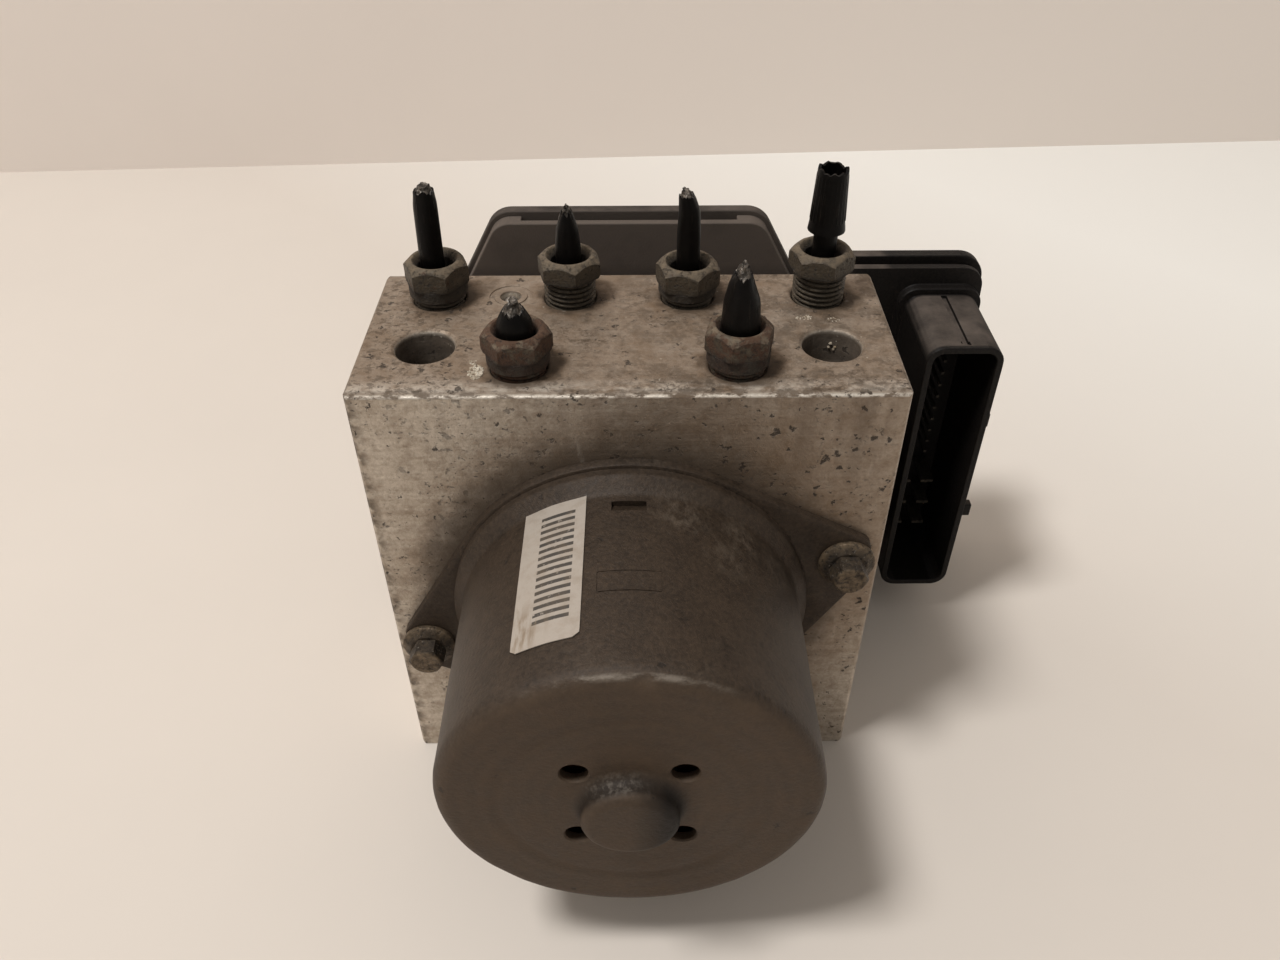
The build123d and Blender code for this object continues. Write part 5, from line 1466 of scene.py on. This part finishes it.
def score_cutters():
    """Thin blocks that cut the scored rectangle into the crown of the can."""
    near, far = SCORE_Y
    left, right = SCORE_TURN
    floor, half = CAN_R - SCORE_DEPTH, SCORE_WIDTH / 2
    arc_steps = 6
    meshes = []
    for y in (near, far):
        for step in range(arc_steps):
            turns = [left + (right - left) * (step + part) / arc_steps for part in (0, 1)]
            meshes.append(bent_block(turns[0] - 0.05, turns[1] + 0.05, y - half, y + half, floor))
    for turn in (left, right):
        wide = math.degrees(half / CAN_R)
        meshes.append(bent_block(turn - wide, turn + wide, near, far, floor))
    return meshes


def bent_block(first, last, near, far, floor):
    """A block that stands on the can between two turns from the top, in degrees."""
    corners = []
    for radius in (floor, CAN_R + 2.0):
        for turn, y in ((first, near), (last, near), (last, far), (first, far)):
            angle = math.radians(turn)
            corners.append((radius * math.sin(angle), y, AXIS_Z + radius * math.cos(angle)))
    return cutter_mesh(corners)


def vent_cutters():
    """Drills for the four vents, with a slight sink at the face."""
    meshes = []
    for side_x in (-1, 1):
        for side_z in (-1, 1):
            x, z = side_x * VENT_OFFSET, AXIS_Z + side_z * VENT_OFFSET
            columns = []
            for step in range(36):
                turn = math.tau * step / 36
                column = []
                for radius, y in (
                    (VENT_R + 0.8, CAN_END - 0.5),
                    (VENT_R + 0.3, CAN_END - 0.02),
                    (VENT_R, CAN_END + 0.35),
                    (VENT_R, CAN_END + CAN_WALL + 1.0),
                ):
                    column.append((x + radius * math.cos(turn), y, z + radius * math.sin(turn)))
                columns.append(column)
            meshes.append(closed_ends(ringed_mesh("vent", columns, [], closed=False)))
    return meshes


def cut(mesh, cutters):
    """The mesh with the cutters taken out of it."""
    piece = linked(mesh.name, mesh)
    tools = []
    for cutter in cutters:
        tool = linked("cutter", cutter)
        taken = piece.modifiers.new("cut", "BOOLEAN")
        taken.operation, taken.solver, taken.object = "DIFFERENCE", "EXACT", tool
        tools.append(tool)
    result = baked(piece)
    for used in [piece] + tools:
        bpy.data.objects.remove(used)
    return result


def motor_can_mesh(finish):
    """The drawn can with its lance, score and vents, and the flange that it stands on."""
    shell = closed_ends(ringed_mesh("can", can_shell(), [finish], closed=False))
    shell = cut(shell, [lance_cutter()] + score_cutters() + vent_cutters())
    flange = ringed_mesh("flange", flange_columns(), [finish])
    whole = bpy.data.meshes.new("motor_can_drawn")
    with reworked(whole) as work:
        work.from_mesh(shell)
        work.from_mesh(flange)
    whole.materials.append(finish)
    return shaded(whole, 32.0)


LABEL_TURN = (103.1, 124.0)
LABEL_Y = (-59.1, -25.6)
LABEL_ROUND = 1.1


def label_mesh(motor, finish):
    """The film: a bent sheet with round corners, lifted a little along its long edges."""
    skin = CAN_R + 0.03
    thick = motor.label_thickness / MM
    start, end = LABEL_Y
    first, last = (math.radians(turn) for turn in LABEL_TURN)
    middle, half = (first + last) / 2, (last - first) / 2
    rows, across = 40, 20
    top, bottom = [], []
    for row in range(rows + 1):
        share = row / rows
        y = start + (end - start) * share
        edge = min(y - start, end - y)
        inset = 0.0
        if edge < LABEL_ROUND:
            inset = LABEL_ROUND - math.sqrt(LABEL_ROUND**2 - (LABEL_ROUND - edge) ** 2)
        reach = half - inset / skin
        for column in range(across + 1):
            side = 2 * column / across - 1
            turn = middle + reach * side
            spot = Vector((skin * turn, y, 0))
            lift = 0.05 * max(0.0, noise.noise(spot * 0.35)) + 0.06 * abs(side) ** 6
            for layer, height in ((bottom, 0.0), (top, thick)):
                radius = skin + lift + height
                layer.append((radius * math.cos(turn), y, AXIS_Z + radius * math.sin(turn)))
    wide = across + 1
    under = len(top)
    faces = []
    for row in range(rows):
        for column in range(across):
            a = row * wide + column
            quad = (a, a + 1, a + wide + 1, a + wide)
            faces += [quad, tuple(under + corner for corner in quad[::-1])]
    rim = list(range(across))
    rim += [row * wide + across for row in range(rows)]
    rim += [rows * wide + column for column in range(across, 0, -1)]
    rim += [row * wide for row in range(rows, 0, -1)]
    for here, there in zip(rim, rim[1:] + rim[:1]):
        faces.append((here, there, under + there, under + here))
    return mesh_from("motor_label_film", top + bottom, faces, [finish], 60.0)


# ---- corrosion ----------------------------------------------------------------------------------
# centre, half widths, number of crumbs, largest crumb in mm, and whether the bed stands upright
CRUMB_BEDS = [
    ((-26.6, -14.2, BLOCK_TOP), (1.3, 2.3), 170, 0.55, False),
    ((-27.4, -11.2, BLOCK_TOP), (0.8, 0.7), 24, 0.4, False),
    ((33.0, 3.6, BLOCK_TOP), (1.6, 0.8), 26, 0.4, False),
    ((38.4, 2.8, BLOCK_TOP), (1.5, 0.7), 18, 0.35, False),
    # lumps stuck to the far wall of the right mounting bore
    ((MOUNT_X, MOUNT_Y + 5.2, BLOCK_TOP - 3.4), (3.0, 1.5), 6, 1.0, True),
]


def crumb_tree():
    """Crumbs of fixed seed and random size scattered on a bed."""
    tree, entry, end = node_group("crumbs", {"Density": 1.0e7, "Largest": 0.5 * MM, "Seed": 3})
    seed = entry["Seed"]
    bed = {"Mesh": entry["Geometry"], "Density": entry["Density"], "Seed": seed}
    spots = add(tree, "GeometryNodeDistributePointsOnFaces", bed, out="Points")
    crumb = add(tree, "GeometryNodeMeshIcoSphere", {"Radius": 0.5, "Subdivisions": 2})
    share = {2: 0.25, 3: 1.0, "Seed": seed}
    sizes = add(tree, "FunctionNodeRandomValue", share, out=1, data_type="FLOAT")
    size = add(tree, "ShaderNodeMath", {0: sizes, 1: entry["Largest"]}, operation="MULTIPLY")
    any_turn = {0: (0, 0, 0), 1: (6.3, 6.3, 6.3), "Seed": seed}
    turns = add(tree, "FunctionNodeRandomValue", any_turn, data_type="FLOAT_VECTOR")
    turn = add(tree, "FunctionNodeEulerToRotation", {0: turns})
    spread = {"Points": spots, "Instance": crumb, "Rotation": turn, "Scale": size}
    laid = add(tree, "GeometryNodeInstanceOnPoints", spread)
    real = add(tree, "GeometryNodeRealizeInstances", {"Geometry": laid})
    here = add(tree, "GeometryNodeInputPosition")
    cloud = {"Vector": here, "Scale": 4.0 / MM, "Detail": 1.0}
    rough = add(tree, "ShaderNodeTexNoise", cloud, out="Color")
    rough = add(tree, "ShaderNodeVectorMath", {0: rough, 1: (0.5, 0.5, 0.5)}, operation="SUBTRACT")
    offset = add(tree, "ShaderNodeVectorMath", {0: rough, "Scale": 0.3 * MM}, operation="SCALE")
    lumpy = add(tree, "GeometryNodeSetPosition", {"Geometry": real, "Offset": offset})
    return made_real(tree, entry, end, lumpy)


def oxide_powder(block):
    """Aluminium oxide and road salt: chalky, off-white, with brown in its hollows."""
    material, tree, where = new_finish("oxide_powder")
    tone = patches(tree, where, 0.9, 0.35, 0.65, 4.0)
    shade = layered(tree, linear("#8F7D66"), (tone, 1.0, block.bloom))
    finish_surface(tree, shade, 0.95, 0.0, None, [(tone, 1.0)], 0.1)
    return material


def bed_mesh(centre, half_widths, upright):
    """A small oval patch on which crumbs are scattered."""
    points = []
    for step in range(24):
        turn = math.tau * step / 24
        across, along = half_widths[0] * math.cos(turn), half_widths[1] * math.sin(turn)
        off = (across, 0.0, along) if upright else (across, along, 0.0)
        points.append((Vector(centre) + Vector(off)) * MM)
    return flat_mesh("bed", points)


# ---- operators: one for each piece or group of like pieces --------------------------------------
class BRAKE_UNIT_OT_stage(bpy.types.Operator):
    """Pale floor and backdrop, a large lamp overhead, even light all round, and the camera"""

    bl_idname = "brake_unit.stage"
    bl_label = "Stage"

    def execute(self, context):
        stage = context.scene.brake_unit.stage
        context.scene.view_settings.view_transform = "Standard"
        side, high = STAGE_HALF, BACKDROP_HEIGHT
        corners = [(-side, -side, 0), (side, -side, 0), (side, side, 0), (-side, side, 0)]
        floor = flat_mesh("floor", corners)
        floor.materials.append(painted_board("painted_floor", stage.floor, stage.painted_light_floor))
        left = stage.backdrop_place - BACKDROP_SLOPE * side
        right = stage.backdrop_place + BACKDROP_SLOPE * side
        corners = [(-side, left, 0), (side, right, 0), (side, right, high), (-side, left, high)]
        wall = flat_mesh("backdrop", corners)
        wall.materials.append(painted_board("painted_backdrop", stage.backdrop, stage.backdrop))
        for mesh in (floor, wall):
            linked(mesh.name, mesh)
        lamp = bpy.data.lights.new("large_lamp", "AREA")
        lamp.shape = "RECTANGLE"
        lamp.size = lamp.size_y = LAMP_SIDE
        lamp.energy = stage.key
        shine = linked("large_lamp", lamp)
        shine.location = Vector(LAMP_AIM) + Vector(LAMP_AWAY)
        shine.rotation_euler = (-Vector(LAMP_AWAY)).to_track_quat("-Z", "Y").to_euler()
        world = bpy.data.worlds.new("even_light")
        world.use_nodes = True
        glow = world.node_tree.nodes["Background"].inputs
        glow["Color"].default_value = linear("#FFFDFA")
        glow["Strength"].default_value = stage.fill
        context.scene.world = world
        lens = bpy.data.cameras.new("camera")
        lens.sensor_width = SENSOR_WIDTH
        lens.lens = stage.lens
        camera = linked("camera", lens)
        camera.location = CAMERA_PLACE
        camera.rotation_euler = [math.radians(turn) for turn in CAMERA_TURN]
        context.scene.camera = camera
        return {"FINISHED"}


class BRAKE_UNIT_OT_valve_block(bpy.types.Operator):
    """Milled block with broken edges"""

    bl_idname = "brake_unit.valve_block"
    bl_label = "Valve block"

    def execute(self, context):
        block = context.scene.brake_unit.block
        finish = milled_aluminium(block)
        mesh = dressed("valve_block", "valve_block_milled", finish, block.edge / MM)
        show("valve_block_milled", mesh, "block_alloy", "valve_block")
        return {"FINISHED"}


class BRAKE_UNIT_OT_pipe_nuts(bpy.types.Operator):
    """Six flare nuts with their thread turns"""

    bl_idname = "brake_unit.pipe_nuts"
    bl_label = "Pipe nuts"

    def execute(self, context):
        nut = context.scene.brake_unit.nut
        tree = thread_tree()
        for port, (*_, collared, _) in NUTS.items():
            finish = plated_nut_steel(nut, f"plated_nut_steel_{port}", RUSTED[port])
            node = "pipe_nuts_collared" if collared else "pipe_nuts_plain"
            slot = "nut_steel_stained" if collared else "nut_steel_plain"
            show(f"pipe_nut_{port}", nut_mesh(nut, port, finish), slot, node)
            show(f"nut_thread_{port}", thread_mesh(nut, port, tree, finish), slot, node)
        return {"FINISHED"}


class BRAKE_UNIT_OT_cut_pipes(bpy.types.Operator):
    """Six cut pipe stubs, one of them with a loose ribbed sleeve"""

    bl_idname = "brake_unit.cut_pipes"
    bl_label = "Cut pipes"

    def execute(self, context):
        pipe = context.scene.brake_unit.pipe
        finishes = [black_pipe_coat(pipe), sheared_steel(pipe)]
        for port in PIPES:
            stub = stub_mesh(pipe, port, finishes)
            show(f"cut_pipe_{port}", stub, "pipe_coating", f"pipe_{port}")
        show("pipe_sleeve", sleeve_mesh(finishes[:1]), "pipe_coating", "pipe_rear_right")
        x, y = NUTS["rear_right"][:2]
        foot = SLEEVE[2]
        values = {
            "Foot radius": foot[1] * MM,
            "Top share": SLEEVE[-1][1] / foot[1],
            "Height": (SLEEVE[-1][0] - 1.2 - foot[0]) * MM,
            "Place": ((x + foot[3]) * MM, y * MM, foot[0] * MM),
            "Material": finishes[0],
        }
        ribs = grown("sleeve_ribs", rib_tree(), values)
        show("sleeve_ribs", ribs, "pipe_coating", "pipe_rear_right")
        return {"FINISHED"}


class BRAKE_UNIT_OT_motor_can(bpy.types.Operator):
    """Deep-drawn can with its lance, its scored mark, its vents and its flange"""

    bl_idname = "brake_unit.motor_can"
    bl_label = "Motor can"

    def execute(self, context):
        finish = coated_can_steel(context.scene.brake_unit.motor)
        show("motor_can_drawn", motor_can_mesh(finish), "can_steel", "motor_can")
        return {"FINISHED"}


class BRAKE_UNIT_OT_fasteners(bpy.types.Operator):
    """Motor bolts and control unit screws"""

    bl_idname = "brake_unit.fasteners"
    bl_label = "Bolts and screws"

    def execute(self, context):
        finish = plated_bolt_steel(context.scene.brake_unit.motor)
        for node in ("motor_bolts", "ecu_screws"):
            mesh = dressed(node, f"{node}_plated", finish, BOLT_EDGE)
            show(f"{node}_plated", mesh, "bolt_steel", node)
        return {"FINISHED"}


class BRAKE_UNIT_OT_motor_label(bpy.types.Operator):
    """White film on the can with plain bars"""

    bl_idname = "brake_unit.motor_label"
    bl_label = "Motor label"

    def execute(self, context):
        motor = context.scene.brake_unit.motor
        label = label_mesh(motor, printed_film(motor))
        show("motor_label_film", label, "label_film", "motor_label")
        return {"FINISHED"}


class BRAKE_UNIT_OT_control_unit(bpy.types.Operator):
    """Moulded housing and lid of the control unit"""

    bl_idname = "brake_unit.control_unit"
    bl_label = "Control unit"

    def execute(self, context):
        unit = context.scene.brake_unit.unit
        finish = moulded_polyester(unit)
        for node in ("ecu_housing", "ecu_lid"):
            mesh = dressed(node, f"{node}_moulded", finish, unit.edge / MM)
            show(f"{node}_moulded", mesh, "unit_plastic", node)
        for node in ("brush_plate", "terminal_sleeve"):
            refinish(node, finish)
        return {"FINISHED"}


class BRAKE_UNIT_OT_inner_pieces(bpy.types.Operator):
    """Finishes of the bearings, pumps, valves, armature, magnets, springs, seals and board"""

    bl_idname = "brake_unit.inner_pieces"
    bl_label = "Inner pieces"

    def execute(self, context):
        finishes = {slot: inner_finish(*look) for slot, look in INNER_FINISHES.items()}
        for part in frame["record"]["subparts"]:
            if part["material_slot"] in finishes:
                refinish(part["node"], finishes[part["material_slot"]])
        return {"FINISHED"}


class BRAKE_UNIT_OT_springs(bpy.types.Operator):
    """The six coil springs, each a welded, smooth-shaded copy in place of its node"""

    bl_idname = "brake_unit.springs"
    bl_label = "Springs"

    def execute(self, context):
        for joint in frame["record"]["behaviour"]["joints"]:
            for part in joint.get("deforming_nodes", ()):
                node = part["node"]
                along = "xyz".index(part["mode"][-1])
                seat = part[f"fixed_end_{part['mode'][-1]}_m"]
                low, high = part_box(node)
                start = (Vector(low) + Vector(high)) / 2
                end = start.copy()
                start[along] = seat
                end[along] = max(low[along], high[along], key=lambda place: abs(place - seat))
                finish = frame["nodes"][node].material_slots[0].material
                piece = linked(f"{node}_coil", shaded(welded(node, finish)))
                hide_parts(node)
                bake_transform(piece)
        return {"FINISHED"}


class BRAKE_UNIT_OT_corrosion(bpy.types.Operator):
    """Crumbs of oxide on the block beside the ports"""

    bl_idname = "brake_unit.corrosion"
    bl_label = "Corrosion"

    def execute(self, context):
        finish = oxide_powder(context.scene.brake_unit.block)
        tree = crumb_tree()
        for index, (centre, half_widths, count, largest, upright) in enumerate(CRUMB_BEDS):
            area = math.pi * half_widths[0] * half_widths[1] * MM * MM
            values = {
                "Density": count / area,
                "Largest": largest * MM,
                "Seed": index + 3,
                "Material": finish,
            }
            name = f"oxide_crumbs_{index + 1}"
            crumbs = grown(name, tree, values, bed_mesh(centre, half_widths, upright))
            show(name, crumbs, "block_alloy")
        return {"FINISHED"}


class BRAKE_UNIT_PT_parts(bpy.types.Panel):
    """Lists the settings and the pieces of the brake hydraulic unit"""

    bl_idname = "BRAKE_UNIT_PT_parts"
    bl_label = "Brake unit"
    bl_space_type = "VIEW_3D"
    bl_region_type = "UI"
    bl_category = "Brake unit"

    def draw(self, context):
        parts = context.scene.brake_unit
        for group in (parts.stage, parts.block, parts.nut, parts.pipe, parts.motor, parts.unit):
            box = self.layout.box()
            for setting in group.bl_rna.properties:
                if setting.identifier not in ("rna_type", "name"):
                    box.prop(group, setting.identifier)
        for operator in PIECES:
            self.layout.operator(operator.bl_idname)


SETTINGS = (
    BlockSettings,
    NutSettings,
    PipeSettings,
    MotorSettings,
    UnitSettings,
    StageSettings,
    UnitPartsSettings,
)
PIECES = (
    BRAKE_UNIT_OT_stage,
    BRAKE_UNIT_OT_valve_block,
    BRAKE_UNIT_OT_pipe_nuts,
    BRAKE_UNIT_OT_cut_pipes,
    BRAKE_UNIT_OT_motor_can,
    BRAKE_UNIT_OT_fasteners,
    BRAKE_UNIT_OT_motor_label,
    BRAKE_UNIT_OT_control_unit,
    BRAKE_UNIT_OT_inner_pieces,
    BRAKE_UNIT_OT_springs,
    BRAKE_UNIT_OT_corrosion,
)


def register():
    for group in SETTINGS + PIECES + (BRAKE_UNIT_PT_parts,):
        bpy.utils.register_class(group)
    bpy.types.Scene.brake_unit = PointerProperty(type=UnitPartsSettings)


def unregister():
    del bpy.types.Scene.brake_unit
    for group in reversed(SETTINGS + PIECES + (BRAKE_UNIT_PT_parts,)):
        bpy.utils.unregister_class(group)


def main():
    register()
    bpy.ops.brake_unit.stage()
    bpy.ops.brake_unit.valve_block()
    bpy.ops.brake_unit.pipe_nuts()
    bpy.ops.brake_unit.cut_pipes()
    bpy.ops.brake_unit.motor_can()
    bpy.ops.brake_unit.fasteners()
    bpy.ops.brake_unit.motor_label()
    bpy.ops.brake_unit.control_unit()
    bpy.ops.brake_unit.inner_pieces()
    bpy.ops.brake_unit.springs()
    bpy.ops.brake_unit.corrosion()


if __name__ == "__main__":
    main()
